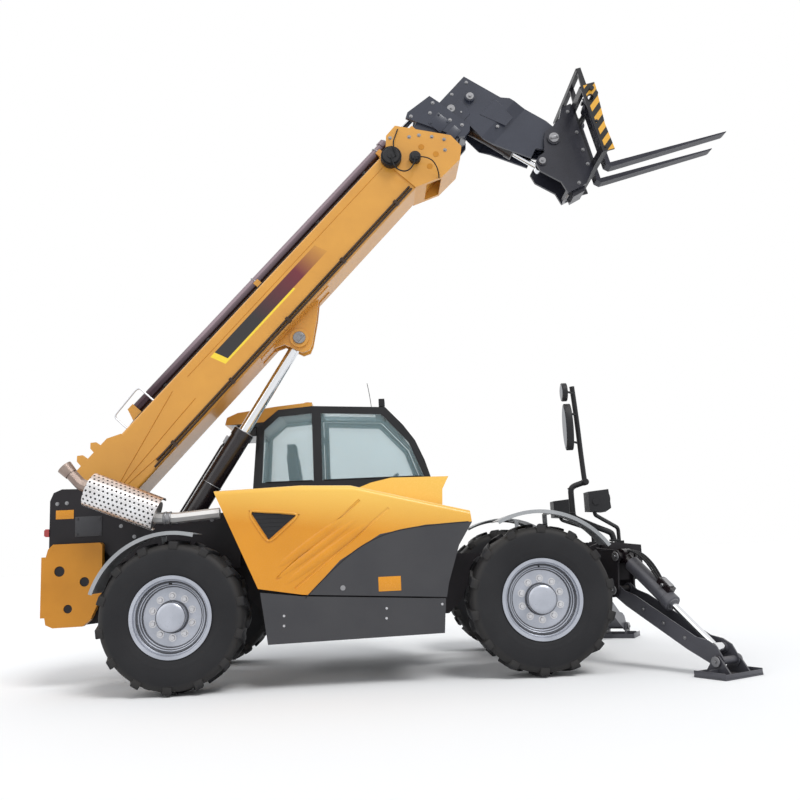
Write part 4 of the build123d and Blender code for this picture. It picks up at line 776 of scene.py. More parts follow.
def wheel_trim():
    """Nuts, hub dome, steps, painted shadow rings and valve of each wheel."""
    for end, x in AXLES:
        for side, turn in (("left", 0.0), ("right", pi)):
            spot = Matrix.Translation((x - SHIFT, WHEEL_Y if side == "left" else -WHEEL_Y, AXLE_Z))
            spot = spot @ Matrix.Rotation(turn, 4, "Z")
            nuts = copied(
                bolt((0, DISC_FACE, NUT_CIRCLE), (0, 1, 0), NUT_SIZE),
                [Matrix.Rotation(tau * i / NUTS, 4, "Y") for i in range(NUTS)],
            )
            valve = disc((0.0, 0.125, 0.265), (0.012, 0.160, 0.268), 0.007, 0.001, 12)
            for name, pieces, paint, slot in (
                # Dark rings of painted shadow in the steps and round the hub cap.
                ("rim_shadow_rings", rings(RIM_SHADOW_RINGS), "rim_painted_shadow", "rim_silver"),
                ("wheel_nuts", [nuts], "steel_silver", "steel_silver"),
                ("hub_cap", [turned(HUB_DOME, 64)], "rim_silver", "rim_silver"),
                ("rim_steps", rings(RIM_STEPS), "rim_silver", "rim_silver"),
                ("valve", [valve], "hose_rubber", "tyre_black"),
            ):
                fit(f"{name}_{end}_{side}", pieces, f"wheel_{end}_{side}", paint, spot)


# Fender radii and arcs in degrees from straight ahead
FENDERS = (("front", WHEELBASE, 0.732, (35, 117)), ("rear", 0.0, 0.690, (74, 162)))
FENDER_EDGE, FENDER_Y = -0.430, -0.75


def fender_trim():
    """Turned lip along the outer edge of each fender, over its whole arc."""
    for end, x, reach, (first, last) in FENDERS:
        turns = [radians(first + (last - first) * i / 28) for i in range(29)]
        outer = [((reach + 0.001) * cos(t), (reach + 0.001) * sin(t)) for t in turns]
        inner = [((reach - 0.030) * cos(t), (reach - 0.030) * sin(t)) for t in reversed(turns)]
        lip = plate(outer + inner, FENDER_EDGE - 0.004, FENDER_EDGE + 0.003, 0.001)
        spot = Matrix.Translation((x - SHIFT, FENDER_Y, AXLE_Z))
        fit(f"{end}_fender_lip", [lip], f"knuckle_{end}_right", "fender_grey", spot,
            f"knuckle_{end}_left")


# Boom: distances along it from its foot pin, and up from its axis
COLLAR_BOLTS = ((4.383, 0.399), (4.52, 0.262), (4.60, 0.20), (4.674, 0.092), (4.735, -0.02), (4.654, -0.101))
HEAD_BOLTS = ((4.71, 0.40), (4.868, 0.279), (4.97, 0.33), (4.945, 0.076), (4.985, -0.05))
NECK_BOLTS = ((5.197, 0.26), (5.11, 0.06), (5.40, 0.235), (5.24, -0.32))
COVER_BOLTS = ((4.79, 0.20), (4.91, 0.20), (4.79, 0.08), (4.91, 0.08))
COLLAR_FACE, HEAD_FACE, NECK_FACE, COVER_FACE, SEAM_Y = -0.239, -0.221, -0.168, -0.226, -0.2255
KNOB_AT, SMALL_KNOB_AT = (4.22, 0.244), (4.379, 0.065)
HOSE_ROWS = (-0.155, -0.128, 0.128, 0.155)
CLAMP_AT, CLAMP_ROWS = (1.05, 1.65, 3.25, 3.95), (-0.1415, 0.1415)
TUBE_UP = 0.452


def side_bolts(places, y, size):
    """Bolts on a face that looks to the machine's right."""
    return [bolt((a, y, h), (0, -1, 0), size) for a, h in places]


def boom_trim():
    """Bolts, weld seams, knobs, pins, hoses and their clamps on the boom."""
    steel("collar_bolts", side_bolts(COLLAR_BOLTS, COLLAR_FACE, 0.013), "boom", BOOM, "boom")
    patches = [disc((a, COLLAR_FACE, h), (a, COLLAR_FACE - 0.0035, h), 0.030, 0.001)
               for a, h in ((4.52, 0.10), (4.56, -0.06), (4.42, -0.10))]
    fit("collar_patches", patches, "boom", "ballast_yellow", BOOM, "boom")

    (a, h), (small_a, small_h) = KNOB_AT, SMALL_KNOB_AT
    knobs = [
        disc((a, -0.3093, h), (a, -0.331, h), 0.086, 0.006, 24),
        disc((a, -0.330, h), (a, -0.338, h), 0.040, 0.003, 24),
        ring((a, -0.3093, h), (0, 1, 0), 0.097, 0.005),
        disc((small_a, -0.2993, small_h), (small_a, -0.315, small_h), 0.040, 0.004, 20),
    ]
    fit("sensor_knobs", knobs, "boom", "cap_black", BOOM)
    cables = [
        pipe([(a, -0.335, h), (4.12, -0.365, 0.14), (4.16, -0.365, 0.00), (4.30, -0.34, 0.00),
              (small_a, -0.315, small_h)], 0.007),
        pipe([(4.24, -0.335, 0.20), (4.30, -0.36, 0.30), (4.42, -0.30, 0.36), (4.50, -0.25, 0.40)], 0.007),
        pipe([(small_a, -0.31, 0.05), (4.46, -0.34, -0.05), (4.44, -0.28, -0.20), (4.38, -0.244, -0.255)],
             0.006),
    ]
    fit("sensor_cables", cables, "boom", "hose_rubber", BOOM)

    seams = [pipe([(p, SEAM_Y, q) for p, q in line], wire) for line, wire in (
        (((0.09, 0.03), (0.60, 0.15), (1.05, 0.26)), 0.004),
        (((0.095, 0.0), (0.60, 0.03), (1.15, 0.05)), 0.004),
        (((0.09, -0.03), (0.55, -0.07), (1.00, -0.12)), 0.004),
        (((1.25, 0.25), (4.12, 0.25)), 0.003),
    )]
    seams.append(pipe([(4.156, -0.2275, 0.34), (4.156, -0.2275, -0.137)], 0.005))
    fit("boom_seams", seams, "boom", "ballast_yellow", BOOM, "boom")

    pins = [
        disc((2.253, -0.1118, -0.27), (2.253, -0.126, -0.27), 0.062, 0.004),
        block((2.20, -0.134, -0.292), (2.306, -0.1255, -0.248), 0.002),
        *side_bolts(((2.225, -0.27), (2.281, -0.27)), -0.134, 0.010),
        disc((0, -0.2248, 0), (0, -0.2300, 0), 0.094, 0.002),
    ]
    steel("lug_pin_head", pins, "boom", BOOM, "boom")
    hoses = [pipe([(0.55, y, 0.350), (0.70, y, 0.362), (2.4, y, 0.360), (4.05, y, 0.362), (4.13, y, 0.350)],
                  0.011) for y in HOSE_ROWS]
    fit("boom_hoses", hoses, "boom", "hose_rubber", BOOM)
    clamps = []
    for a in CLAMP_AT:
        for y in CLAMP_ROWS:
            clamps.append(block((a - 0.018, y - 0.034, 0.3445), (a + 0.018, y + 0.034, 0.379), 0.004))
            clamps.append(bolt((a, y, 0.379), (0, 0, 1), 0.007))
    fit("hose_clamps", clamps, "boom", "cap_black", BOOM)
    straps = [ring((a, 0, TUBE_UP), (1, 0, 0), 0.070, 0.006) for a in (2.4, 4.25)]
    straps.append(disc((4.385, 0, TUBE_UP), (4.402, 0, TUBE_UP), 0.064, 0.004))
    steel("telescope_straps", straps, "boom", BOOM)


def head_trim():
    """Bolts and pin heads on the head plates and the gooseneck."""
    steel("head_bolts", side_bolts(HEAD_BOLTS, HEAD_FACE, 0.013), "boom_mid", BOOM, "boom_mid")
    pads = [block((4.77, COVER_FACE, low), (4.93, COVER_FACE + 0.0055, high), 0.004)
            for low, high in ((0.06, 0.22), (-0.09, 0.01))]
    pads += side_bolts(COVER_BOLTS, COVER_FACE, 0.009)
    fit("wear_pad_covers", pads, "boom_mid", "head_blue_grey", BOOM, "boom_mid")
    eye = [disc((4.829, 0, TUBE_UP), (4.842, 0, TUBE_UP), 0.040, 0.003),
           bolt((4.842, 0, TUBE_UP), (1, 0, 0), 0.018)]
    steel("telescope_rod_nut", eye, "boom_mid", BOOM)

    steel("neck_bolts", side_bolts(NECK_BOLTS, NECK_FACE, 0.012), "boom_inner", BOOM, "boom_inner")
    covers = [plate(outline, -0.1725, -0.1675, 0.002) for outline in (
        [(5.05, 0.17), (5.05, -0.02), (5.16, -0.02), (5.20, 0.06), (5.20, 0.17)],
        [(5.22, -0.10), (5.30, -0.38), (5.42, -0.38), (5.46, -0.10)],
    )]
    fit("neck_stiffeners", covers, "boom_inner", "head_blue_grey", BOOM, "boom_inner")
    keeper = [disc((5.292, -0.2019, 0.099), (5.292, -0.212, 0.099), 0.040, 0.004),
              bolt((5.292, -0.212, 0.099), (0, -1, 0), 0.015)]
    steel("sheave_pin_head", keeper, "boom_inner", BOOM)
    pin = [disc((5.072, -0.1675, 0.164), (5.072, -0.180, 0.164), 0.042, 0.003),
           bolt((5.072, -0.180, 0.164), (0, -1, 0), 0.012)]
    steel("tilt_pin_head", pin, "boom_inner", BOOM, "boom_inner")
    lines = [pipe([(5.30, y, 0.2885), (5.42, y, 0.27), (5.48, y, 0.10), (5.535, y, -0.10), (5.58, y, -0.20),
                   (5.605, y, -0.34), (5.63, y, -0.50)], 0.009) for y in (-0.05, 0.05)]
    fit("neck_hoses", lines, "boom_inner", "hose_rubber", BOOM)


# Carriage
HITCH_BOLTS = ((0.23, 0.24), (0.25, 0.0), (0.25, -0.2), (0.25, -0.36), (0.1, -0.53))
HITCH_BOSS, HITCH_FACE, FRAME_FACE = -0.1843, -0.1683, -0.550


def carriage_trim():
    """Pin heads, keepers and knobs on the hitch and on the fork frame."""
    heads = [
        disc((0, HITCH_BOSS, 0), (0, HITCH_BOSS - 0.010, 0), 0.052, 0.003),
        block((-0.045, HITCH_BOSS - 0.018, -0.014), (0.045, HITCH_BOSS - 0.009, 0.014), 0.002),
        *side_bolts(((-0.03, 0), (0.03, 0)), HITCH_BOSS - 0.018, 0.009),
        disc((-0.191, -0.180, -0.207), (-0.191, -0.190, -0.207), 0.036, 0.003),
        bolt((-0.191, -0.190, -0.207), (0, -1, 0), 0.011),
        *side_bolts(HITCH_BOLTS, HITCH_FACE, 0.013),
    ]
    steel("hitch_pin_heads", heads, "carriage", CARRIAGE, "carriage")
    knobs = [
        ring((0.3523, -0.551, 0.150), (0, 1, 0), 0.034, 0.005),
        disc((0.385, FRAME_FACE, 0.235), (0.385, FRAME_FACE - 0.032, 0.235), 0.020, 0.005, 20, 0.024),
        *side_bolts(((0.33, -0.38), (0.33, -0.1)), FRAME_FACE, 0.011),
    ]
    fit("fork_frame_knobs", knobs, "carriage", "cap_black", CARRIAGE, "carriage")
    stops = []
    for y in (-0.19, 0.19):
        stops.append(block((0.384, y - 0.030, 0.262), (0.458, y + 0.030, 0.290), 0.006))
        stops.append(disc((0.42, y, 0.288), (0.42, y, 0.325), 0.011, 0.002, 16))
    fit("fork_stops", stops, "carriage", "carriage_black", CARRIAGE)
    lever = pipe([(-0.02, -0.10, -0.60), (-0.06, -0.05, -0.63), (-0.06, 0.05, -0.63), (-0.02, 0.10, -0.60)],
                 0.010)
    steel("lock_lever", [lever], "carriage", CARRIAGE)


def cylinder_trim():
    """Gland rings, ports, sleeves and hoses of the cylinders."""
    lift = [
        ring((1.787, 0, 0), (1, 0, 0), 0.098, 0.008),
        block((0.26, -0.03, 0.095), (0.34, 0.03, 0.128), 0.005),
        block((1.60, -0.03, 0.092), (1.68, 0.03, 0.122), 0.005),
        *[ring((x, 0, 0), (1, 0, 0), 0.100, 0.005) for x in (0.7, 1.2)],
    ]
    steel("lift_ports", lift, "lift_barrel", LIFT)
    tilt = [ring((0.768, 0, 0), (1, 0, 0), 0.070, 0.006),
            block((0.62, -0.022, 0.066), (0.68, 0.022, 0.094), 0.004)]
    steel("tilt_ports", tilt, "tilt_barrel", TILT)
    leg = [
        ring((0.640, 0, 0), (1, 0, 0), 0.052, 0.006),
        disc((0.50, -0.034, 0.085), (0.50, -0.056, 0.085), 0.016, 0.002, 6),
        disc((0.46, 0.034, 0.085), (0.46, 0.052, 0.085), 0.014, 0.002, 6),
        block((0.45, -0.026, 0.1115), (0.56, 0.026, 0.124), 0.004),
    ]
    steel("leg_ports", leg, "leg_barrel_right", LEG_CYLINDER, "leg_barrel_left")
    hoses = [pipe([(0.02, y * 0.6, 0.075), (0.10, y, 0.125), (0.25, y, 0.135), (0.38, y, 0.10),
                   (0.435, y * 0.7, 0.085)], 0.0095) for y in (-0.030, 0.0, 0.030)]
    fit("leg_hoses", hoses, "leg_barrel_right", "hose_rubber", LEG_CYLINDER, "leg_barrel_left")
    jacket = [disc((0.10, 0, 0), (0.62, 0, 0), 0.068, 0.004, 40),
              disc((0.57, 0, 0), (0.645, 0, 0), 0.075, 0.006, 40)]
    fit("leg_barrel_jacket", jacket, "leg_barrel_right", "stabiliser_grey", LEG_CYLINDER,
        "leg_barrel_left")


def stabiliser_trim():
    """Pin heads, foot edges and bolts of the stabilisers."""
    for name, body, other, carrier, y in (
        ("leg_root_pins", "chassis", "chassis", LEG, 0.110),
        ("leg_foot_pins", "pad_right", "pad_left", PAD @ Matrix.Translation((0, 0, PAD_PIN_UP)), 0.128),
        ("leg_cylinder_pins", "chassis", "chassis", LEG_CYLINDER, 0.110),
    ):
        heads = []
        for way in (-1, 1):
            face = way * (y + 0.009)
            heads.append(disc((0, way * y, 0), (0, face, 0), 0.041, 0.003))
            heads.append(bolt((0, face, 0), (0, way, 0), 0.013))
        steel(name, heads, body, carrier, other)
    edges = [block((-0.149, way * 0.2125 - 0.0025, 0.010), (0.149, way * 0.2125 + 0.0025, 0.052), 0.002)
             for way in (-1, 1)]
    edges += [block((way * 0.1475 - 0.0025, -0.212, 0.010), (way * 0.1475 + 0.0025, 0.212, 0.044), 0.002)
              for way in (-1, 1)]
    fit("pad_rims", edges, "pad_right", "stabiliser_grey", PAD, "pad_left")
    studs = [bolt((LEG_LENGTH * f, -0.0895 - 0.004 * f, 0.0), (0, -1, 0), 0.011) for f in (0.3, 0.5, 0.7)]
    steel("leg_bolts", studs, "leg_right", LEG, "leg_left")


# Rear tower and nose
TOWER_FACE = -0.400
TOWER_BOLTS = ((-1.195, 1.624), (-1.109, 1.628), (-0.62, 1.40), (-0.50, 1.30), (0.2, 1.42), (0.2, 1.05))
FOOT_PIN_X, FOOT_PIN_Z = -0.7306, 1.7162
# X, Z and radius of the recesses in the counterweight
BALLAST_HOLES = ((-1.14, 1.02, 0.045), (-0.918, 0.92, 0.041), (-1.06, 0.69, 0.037))


def tower_trim():
    """Plates and bolts on the rear tower, tail indicators, nose bolts and painted shade at the floors of the
    ballast's recesses.
    """
    y = TOWER_FACE
    panel = [block((-1.03, y - 0.006, 1.32), (-0.79, y + 0.001, 1.50), 0.003)]
    panel += side_bolts([(x, z) for x in (-1.01, -0.81) for z in (1.34, 1.48)], y - 0.006, 0.010)
    fit("tower_panel", panel, "chassis", "panel_grey", MACHINE, "chassis")
    blank = block((-1.205, y - 0.0035, 1.485), (-1.045, y + 0.001, 1.565), 0.001)
    fit("tower_plate", [blank], "chassis", "hood_yellow")
    heads = side_bolts(TOWER_BOLTS, y, 0.012)
    heads += [disc((FOOT_PIN_X, -0.326, FOOT_PIN_Z), (FOOT_PIN_X, -0.332, FOOT_PIN_Z), 0.060, 0.003),
              bolt((FOOT_PIN_X, -0.332, FOOT_PIN_Z), (0, -1, 0), 0.02)]
    steel("tower_bolts", heads, "chassis", MACHINE, "chassis")
    lens = block((-1.3085, -0.400, 1.340), (-1.3065, -0.352, 1.390), 0.0008)
    fit("tail_indicator", [lens], "chassis", "lens_amber", MACHINE, "chassis")
    nose = [bolt((4.061, side, z), (1, 0, 0), 0.014)
            for side in (-0.52, -0.36, -0.18, 0.18, 0.36, 0.52) for z in (0.78, 0.96)]
    nose += [ring((4.066, side, 0.87), (0, 1, 0.4), 0.030, 0.009) for side in (-0.45, 0.45)]
    steel("nose_bolts", nose, "chassis")
    # Painted shade: near-black discs at the floors of the counterweight's recesses.
    recess_shade = [disc((x, -0.4605, z), (x, -0.4625, z), r, 0) for x, z, r in BALLAST_HOLES]
    fit("ballast_recess_shade", recess_shade, "chassis", "chassis_charcoal", MACHINE,
        "chassis")


# Hood: X and Z on its right side
HOOD_SIDE = -1.150
VENT = ((0.655, 1.437), (1.030, 1.395), (0.800, 1.205))
VENT_LIP = ((0.620, 1.452), (1.072, 1.408), (0.798, 1.168))
SLATS = 6
LOCK_AT = (1.398, 0.787)
SEAM = ((1.09, 0.72), (1.38, 1.01), (1.72, 1.21), (2.10, 1.27), (2.46, 1.279))
CREASE = ((0.86, 0.90), (1.15, 1.18), (1.56, 1.50))
SKIRT_SCREWS = ((0.913, 0.587), (0.911, 0.508), (1.749, 0.608), (1.745, 0.529), (2.205, 0.62))
# Start, end and half width of each pressed ridge, whose body is mostly sunk in the sheet
RIDGES = (
    ((0.875, 0.982), (1.420, 1.352), 0.060), ((0.890, 0.905), (1.530, 1.340), 0.050),
    ((0.927, 0.839), (1.620, 1.303), 0.060),
)
RIDGE_SUNK, RIDGE_DEPTH, RIDGE_CUT = 0.039, 0.050, 0.0385
HOOD_TOP = ((0.348, 1.625), (1.069, 1.643), (1.486, 1.625), (2.478, 1.374))


def hood_trim():
    """Slatted vent, lock, blank plate, seam and crease of the hood, and the skirt's screws."""
    upper_left, upper_right, tip = (Vector(corner) for corner in VENT)
    vent = [plate(VENT, -1.1445, -1.1405, 0.001)]
    for i in range(SLATS):
        t = (i + 0.7) / (SLATS + 1)
        left, right = upper_left.lerp(tip, t), upper_right.lerp(tip, t)
        low = (left.x + 0.006, -1.1482, left.y - 0.004)
        vent.append(block(low, (right.x - 0.006, -1.1440, left.y + 0.004), 0.001))
    fit("hood_vent", vent, "hood", "cap_black")
    x, z = LOCK_AT
    lock = [disc((x, HOOD_SIDE, z), (x, -1.1545, z), 0.022, 0.002),
            block((x - 0.008, -1.156, z - 0.004), (x + 0.008, -1.1535, z + 0.004), 0.0008)]
    steel("hood_lock", lock, "hood")
    fit("hood_plate", [block((1.69, -1.1525, 0.745), (1.875, -1.1495, 0.862), 0.001)], "hood",
        "hood_yellow")
    fit("hood_seam", [pipe([(x, -1.1502, z) for x, z in SEAM], 0.004)], "hood", "cap_black")
    fit("hood_crease", [pipe([(x, HOOD_SIDE, z) for x, z in CREASE], 0.003)], "hood",
        "hood_yellow")
    fit("skirt_bolts", side_bolts(SKIRT_SCREWS, HOOD_SIDE, 0.007), "chassis", "steel_silver")


def ridge(start, end, wide):
    """Low pressed ridge: the cap of a long flat body that lies sunk in the hood's side."""
    start, end = (Vector((x, HOOD_SIDE + RIDGE_SUNK, z)) for x, z in (start, end))
    lie = frame_on((start + end) / 2, end - start)
    alone()
    bpy.ops.mesh.primitive_uv_sphere_add(segments=40, ring_count=24, radius=1)
    piece = bpy.context.object
    piece.scale = ((end - start).length / 1.2, RIDGE_DEPTH, wide)
    settle()
    with editing(piece):
        bpy.ops.mesh.bisect(plane_co=(0, -RIDGE_CUT, 0), plane_no=(0, 1, 0), clear_outer=True, use_fill=True)
    piece.matrix_world = lie
    return piece


def on_outer_rim(point):
    """Whether a point lies on the hood's upper right edge."""
    x, z = point.x + SHIFT, point.z
    if abs(point.y - HOOD_SIDE) > 0.0005:
        return False
    for (x0, z0), (x1, z1) in zip(HOOD_TOP, HOOD_TOP[1:]):
        if x0 - 0.001 <= x <= x1 + 0.001 and abs(z - z0 - (z1 - z0) * (x - x0) / (x1 - x0)) < 0.001:
            return True
    return False


def hood_sheet():
    """Pressed ridges, the cowl with its outer edge rounded off, and the raised lip of the vent."""
    fit("hood_ribs", [ridge(*measures) for measures in RIDGES], "hood", "hood_yellow")
    cowl = fit("soft_cowl", [softened("hood_cowl", 0.045, on_outer_rim)], "hood",
               "hood_yellow", Matrix.Identity(4))
    even = cowl.modifiers.new("even", "WEIGHTED_NORMAL")
    even.weight, even.keep_sharp = 100, True
    alone(cowl)
    bpy.ops.object.modifier_apply(modifier="even")
    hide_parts("hood_cowl")

    corners = [Vector((x, -1.1495, z)) for x, z in VENT_LIP]
    rim = []
    for corner, after in zip(corners, corners[1:] + corners[:1]):
        rim += [corner.lerp(after, f) for f in (0.10, 0.5, 0.90)]
    rim.append(rim[0])
    fit("vent_lip", [pipe([tuple(p) for p in rim], 0.011, 4)], "hood", "hood_yellow")


# Cab
RAIL = ((1.150, 1.35), (1.205, 1.37), (1.205, 1.75), (1.205, 2.13), (1.150, 2.15))


def cab_trim():
    """Wiper, window beads, rail, door lock, roof lamp lens, beacon, aerial and vents of the cab."""
    arm = ((2.296, 0.72, 1.45), (2.315, 0.72, 1.50), (2.290, 0.74, 1.78), (2.240, 0.78, 1.96))
    wiper = [pipe(arm, 0.008), pipe([(2.298, 0.60, 1.70), (2.270, 0.72, 1.86), (2.215, 0.86, 2.02)], 0.007)]
    beacon = [disc((1.00, 0.95, 2.594), (1.00, 0.95, 2.612), 0.060, 0.004),
              disc((1.00, 0.95, 2.612), (1.00, 0.95, 2.70), 0.050, 0.012, 28, 0.040)]
    aerial = [disc((1.70, 0.80, 2.525), (1.70, 0.80, 2.560), 0.014, 0.003, 16),
              pipe([(1.70, 0.80, 2.55), (1.69, 0.80, 2.70), (1.66, 0.80, 2.86)], 0.0035)]
    lock = [block((2.03, 1.176, 1.561), (2.14, 1.192, 1.589), 0.005),
            disc((2.06, 1.150, 1.52), (2.06, 1.158, 1.52), 0.014, 0.002)]
    vents = [block((0.2985, 0.50, 2.30 + 0.016 * i), (0.3015, 1.00, 2.308 + 0.016 * i), 0.001)
             for i in range(5)]
    for name, pieces, body, paint, slot in (
        ("front_wiper", wiper, "chassis", "lamp_black", "cab_black"),
        ("window_bead_rear", [pipe([(0.600, 0.349, 1.80), (1.075, 0.349, 1.80)], 0.006)], "chassis",
         "hose_rubber", "cab_black"),
        ("window_bead_front", [pipe([(1.185, 0.349, 1.80), (2.17, 0.349, 1.80)], 0.006)], "chassis",
         "hose_rubber", "cab_black"),
        ("grab_rail", [pipe([(1.10, y, z) for y, z in RAIL], 0.013)], "chassis", "lamp_black", "cab_black"),
        ("door_lock", lock, "door", "lamp_black", "cab_black"),
        ("roof_lamp_lens", [disc((1.8321, 0.47, 2.58), (1.8365, 0.47, 2.58), 0.036, 0.002)], "chassis",
         "lens_clear", "lamp_black"),
        ("roof_beacon", beacon, "chassis", "lens_amber", "lamp_black"),
        ("aerial", aerial, "chassis", "lamp_black", "lamp_black"),
        ("roof_vents", vents, "chassis", "cap_black", "cab_black"),
    ):
        fit(name, pieces, body, paint)


# Lamps and mirrors
LAMP_Y, LAMP_Z = (-0.795, -0.705), 1.435
MAST_Y = -0.56
MAST_FOOT = (
    (3.83, 1.06), (3.82, 1.12), (3.80, 1.145), (3.70, 1.185), (3.53, 1.265), (3.475, 1.295), (3.474, 1.36),
    (3.472, 1.48), (3.472, 1.545), (3.50, 1.572), (3.56, 1.590), (3.606, 1.604),
)
MIRROR_Y = -0.715


def oval(centre, wide, tall, thick, edge, segments):
    """Oval body that looks along the machine, with its edge rounded."""
    alone()
    bpy.ops.mesh.primitive_cylinder_add(vertices=48, radius=1, depth=2, rotation=(0, pi / 2, 0))
    piece = bpy.context.object
    settle()
    piece.scale = (thick, wide, tall)
    piece.location = centre
    return rounded(piece, edge, segments)


def lamp_trim():
    """Lenses and rims of the head lamps, with the indicators under them."""
    lenses = [disc((3.7435, y, LAMP_Z), (3.752, y, LAMP_Z), 0.038, 0.003) for y in LAMP_Y]
    fit("head_lamp_lenses", lenses, "chassis", "lens_clear", MACHINE, "chassis")
    rims = [ring((3.747, y, LAMP_Z), (1, 0, 0), 0.040, 0.005) for y in LAMP_Y]
    fit("head_lamp_rims", rims, "chassis", "lamp_black", MACHINE, "chassis")
    amber = block((3.7515, -0.80, 1.352), (3.756, -0.70, 1.378), 0.002)
    fit("indicator_lenses", [amber], "chassis", "lens_amber", MACHINE, "chassis")


def mirror_trim():
    """Clamps on the mirror mast, and the mast itself with round tubes and oval housings."""
    y = MAST_Y
    clamps = [
        disc((3.62, -0.842, 1.41), (3.62, -0.850, 1.41), 0.030, 0.003),
        ring((3.472, y, 1.55), (0, 0, 1), 0.024, 0.006),
        ring((3.472, y, 1.33), (0, 0, 1), 0.024, 0.006),
        disc((3.606, y - 0.042, 1.604), (3.606, y - 0.052, 1.604), 0.022, 0.002),
    ]
    fit("mast_clamps", clamps, "chassis", "lamp_black")
    mast = [
        pipe([(x, y, z) for x, z in MAST_FOOT], 0.026, 5),
        disc((3.606, y - 0.041, 1.604), (3.606, y + 0.041, 1.604), 0.031, 0.004),
        pipe([(3.606, y, 1.604), (3.592, y - 0.005, 1.80), (3.575, y - 0.010, 2.20),
              (3.552, y - 0.020, 2.488)], 0.023, 5),
        block((3.794, y - 0.034, 1.062), (3.866, y + 0.034, 1.080), 0.003),
    ]
    for z, reach in ((2.42, 3.452), (2.22, 3.470), (1.96, 3.470)):
        mast.append(pipe([(3.572, y - 0.012, z), (3.53, y - 0.06, z + 0.01), (reach, -0.700, z)], 0.010))
    for x, z, wide, tall, thick in ((3.457, 2.095, 0.095, 0.212, 0.030), (3.443, 2.414, 0.075, 0.084, 0.022)):
        mast.append(oval((x, MIRROR_Y, z), wide, tall, thick, thick * 0.8, 4))
    post = fit("mirror_post", mast, "chassis", "lamp_black")
    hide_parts("mirror_mast")
    glasses = [oval((x, MIRROR_Y, z), wide, tall, 0.0025, 0.001, 1)
               for x, z, wide, tall in ((3.4258, 2.095, 0.078, 0.190), (3.4198, 2.414, 0.060, 0.068))]
    fit("mirror_glasses", glasses, "chassis", "mirror_face")


# Exhaust
EXHAUST_Y = -0.72
TAIL_MOUTH, TAIL_WAY = (-0.985, EXHAUST_Y, 1.880), (-0.674, 0, 0.738)
INLET_WAY = (-1, 0, 0.06)


def exhaust_trim():
    """Flared tail pipe mouth, band clamps and the coupling of the inlet pipe."""
    mouth, way = Vector(TAIL_MOUTH), Vector(TAIL_WAY)
    alone()
    bpy.ops.mesh.primitive_cylinder_add(
        vertices=36, radius=0.0535, depth=0.09, end_fill_type="NOTHING", location=mouth + way * 0.015,
        rotation=way.to_track_quat("Z", "Y").to_euler(),
    )
    flare = bpy.context.object
    settle()
    with editing(flare, "DESELECT"):
        pass
    for vertex in flare.data.vertices:
        vertex.select = (vertex.co - mouth).dot(way) > 0.05
    bpy.ops.object.mode_set(mode="EDIT")
    bpy.ops.transform.resize(value=(1.22, 1.22, 1.22))
    bpy.ops.object.mode_set(mode="OBJECT")
    wall = flare.modifiers.new("wall", "SOLIDIFY")
    wall.thickness, wall.offset = 0.003, 1
    bpy.ops.object.modifier_apply(modifier="wall")
    fit("tail_flare", [flare], "chassis", "exhaust_steel")

    start, axis = Vector((-0.22, EXHAUST_Y, 1.470)), Vector((-0.56, 0, 0.23))
    bands = [ring(start + axis * f, axis, 0.1195, 0.005) for f in (0.04, 0.96)]
    bands += [ring((x, EXHAUST_Y, z), INLET_WAY, 0.052, 0.007) for x, z in ((-0.10, 1.4375), (-0.14, 1.4385))]
    bands.append(disc((-0.10, EXHAUST_Y, 1.4375), (-0.16, EXHAUST_Y, 1.4385), 0.054, 0.003))
    steel("exhaust_clamps", bands, "chassis")


def axle_trim():
    """Bolt rings on the axle housings."""
    for end, x in AXLES:
        places = [Matrix.Translation((0, y, 0)) @ Matrix.Rotation(tau * i / 12, 4, "Y")
                  for i in range(12) for y in (-0.10, 0.10)]
        heads = copied(bolt((0, 0.0, 0.1475), (0, 0, 1), 0.010, False), places)
        steel(f"{end}_axle_bolts", [heads], "chassis", Matrix.Translation((x - SHIFT, 0, AXLE_Z)))


# Scene
def camera():
    """The photograph's viewpoint."""
    right = Vector((0.99853485, -0.0293622, -0.04545333))
    up = Vector((0.03978426, -0.17101131, 0.98446551))
    back = -Vector((0.0366791, 0.98483145, 0.1695926))
    lens = bpy.data.cameras.new("camera")
    lens.sensor_width, lens.lens = 36.0, 38.925
    lens.clip_end = 200
    eye = bpy.data.objects.new("camera", lens)
    turn = Matrix((right, up, back)).transposed().to_4x4()
    eye.matrix_world = Matrix.Translation((1.66587 - SHIFT, -8.4009, 1.07987)) @ turn
    bpy.context.collection.objects.link(eye)
    bpy.context.scene.camera = eye


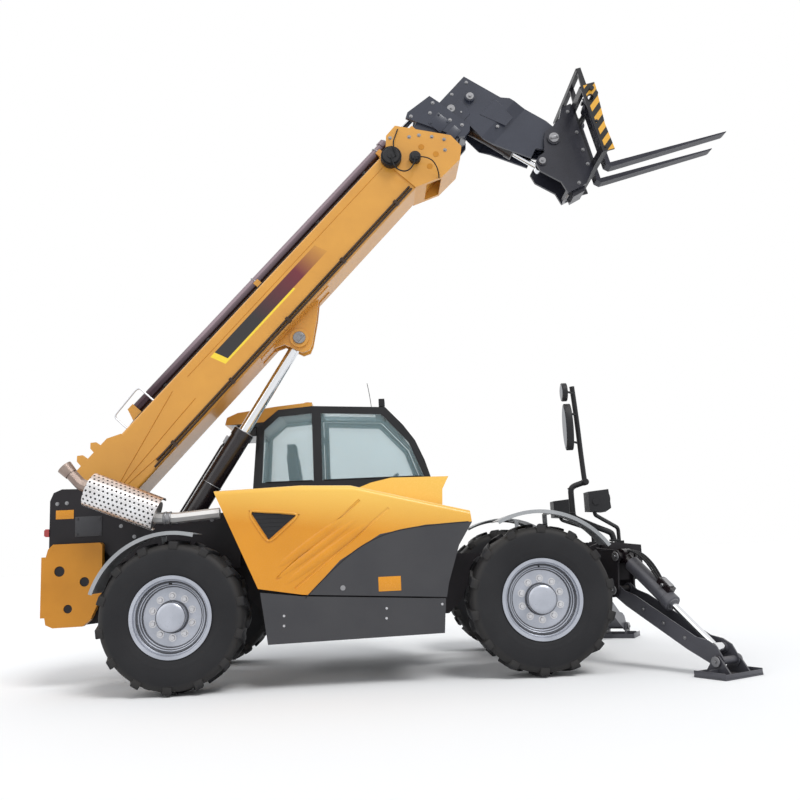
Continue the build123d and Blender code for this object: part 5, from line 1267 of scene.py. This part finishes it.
def lights():
    """A soft key from the camera's side, a weaker fill, a back light and a white surround."""
    for name, power, angle, turn in (
        ("key", 1.5, 25, (38, 8, 22)), ("fill", 0.7, 60, (55, 0, -65)), ("back", 0.5, 60, (-50, 0, 15)),
    ):
        lamp = bpy.data.lights.new(name, "SUN")
        lamp.energy, lamp.angle = power, radians(angle)
        holder = bpy.data.objects.new(name, lamp)
        holder.rotation_euler = [radians(a) for a in turn]
        bpy.context.collection.objects.link(holder)
    world = bpy.data.worlds.new("surround")
    bpy.context.scene.world = world
    world.use_nodes = True
    n = Nodes(world.node_tree)
    output = n.add("ShaderNodeOutputWorld")
    seen, light = n.add("ShaderNodeBackground"), n.add("ShaderNodeBackground")
    seen.inputs["Strength"].default_value = 1.0
    seen.inputs["Color"].default_value = (1, 1, 1, 1)
    light.inputs["Color"].default_value = (0.93, 0.96, 1.0, 1)
    light.inputs["Strength"].default_value = 0.55
    ray = n.add("ShaderNodeLightPath")
    shown = n.number("MAXIMUM", ray.outputs["Is Camera Ray"], ray.outputs["Is Glossy Ray"])
    shown = n.number("MAXIMUM", shown, ray.outputs["Is Transmission Ray"])
    mix = n.add("ShaderNodeMixShader")
    n.wire(shown, mix.inputs[0])
    n.wire(light.outputs[0], mix.inputs[1])
    n.wire(seen.outputs[0], mix.inputs[2])
    n.wire(mix.outputs[0], output.inputs["Surface"])


def floor():
    alone()
    bpy.ops.mesh.primitive_plane_add(size=160, location=(0, 0, -0.0005))
    ground = bpy.context.object
    ground.name = "floor"
    material, _, surface = surfaced("floor_paint")
    surface.inputs["Base Color"].default_value = (0.93, 0.93, 0.93, 1)
    surface.inputs["Roughness"].default_value = 0.95
    surface.inputs["Specular IOR Level"].default_value = 0.1
    ground.data.materials.append(material)


bpy.context.scene.view_settings.view_transform = "Standard"
dress_model()
for dress in (
    tyres, wheel_trim, fender_trim, boom_trim, head_trim, carriage_trim, cylinder_trim, stabiliser_trim,
    tower_trim, hood_trim, hood_sheet, cab_trim, lamp_trim, mirror_trim, exhaust_trim, axle_trim,
):
    dress()
camera()
lights()
floor()
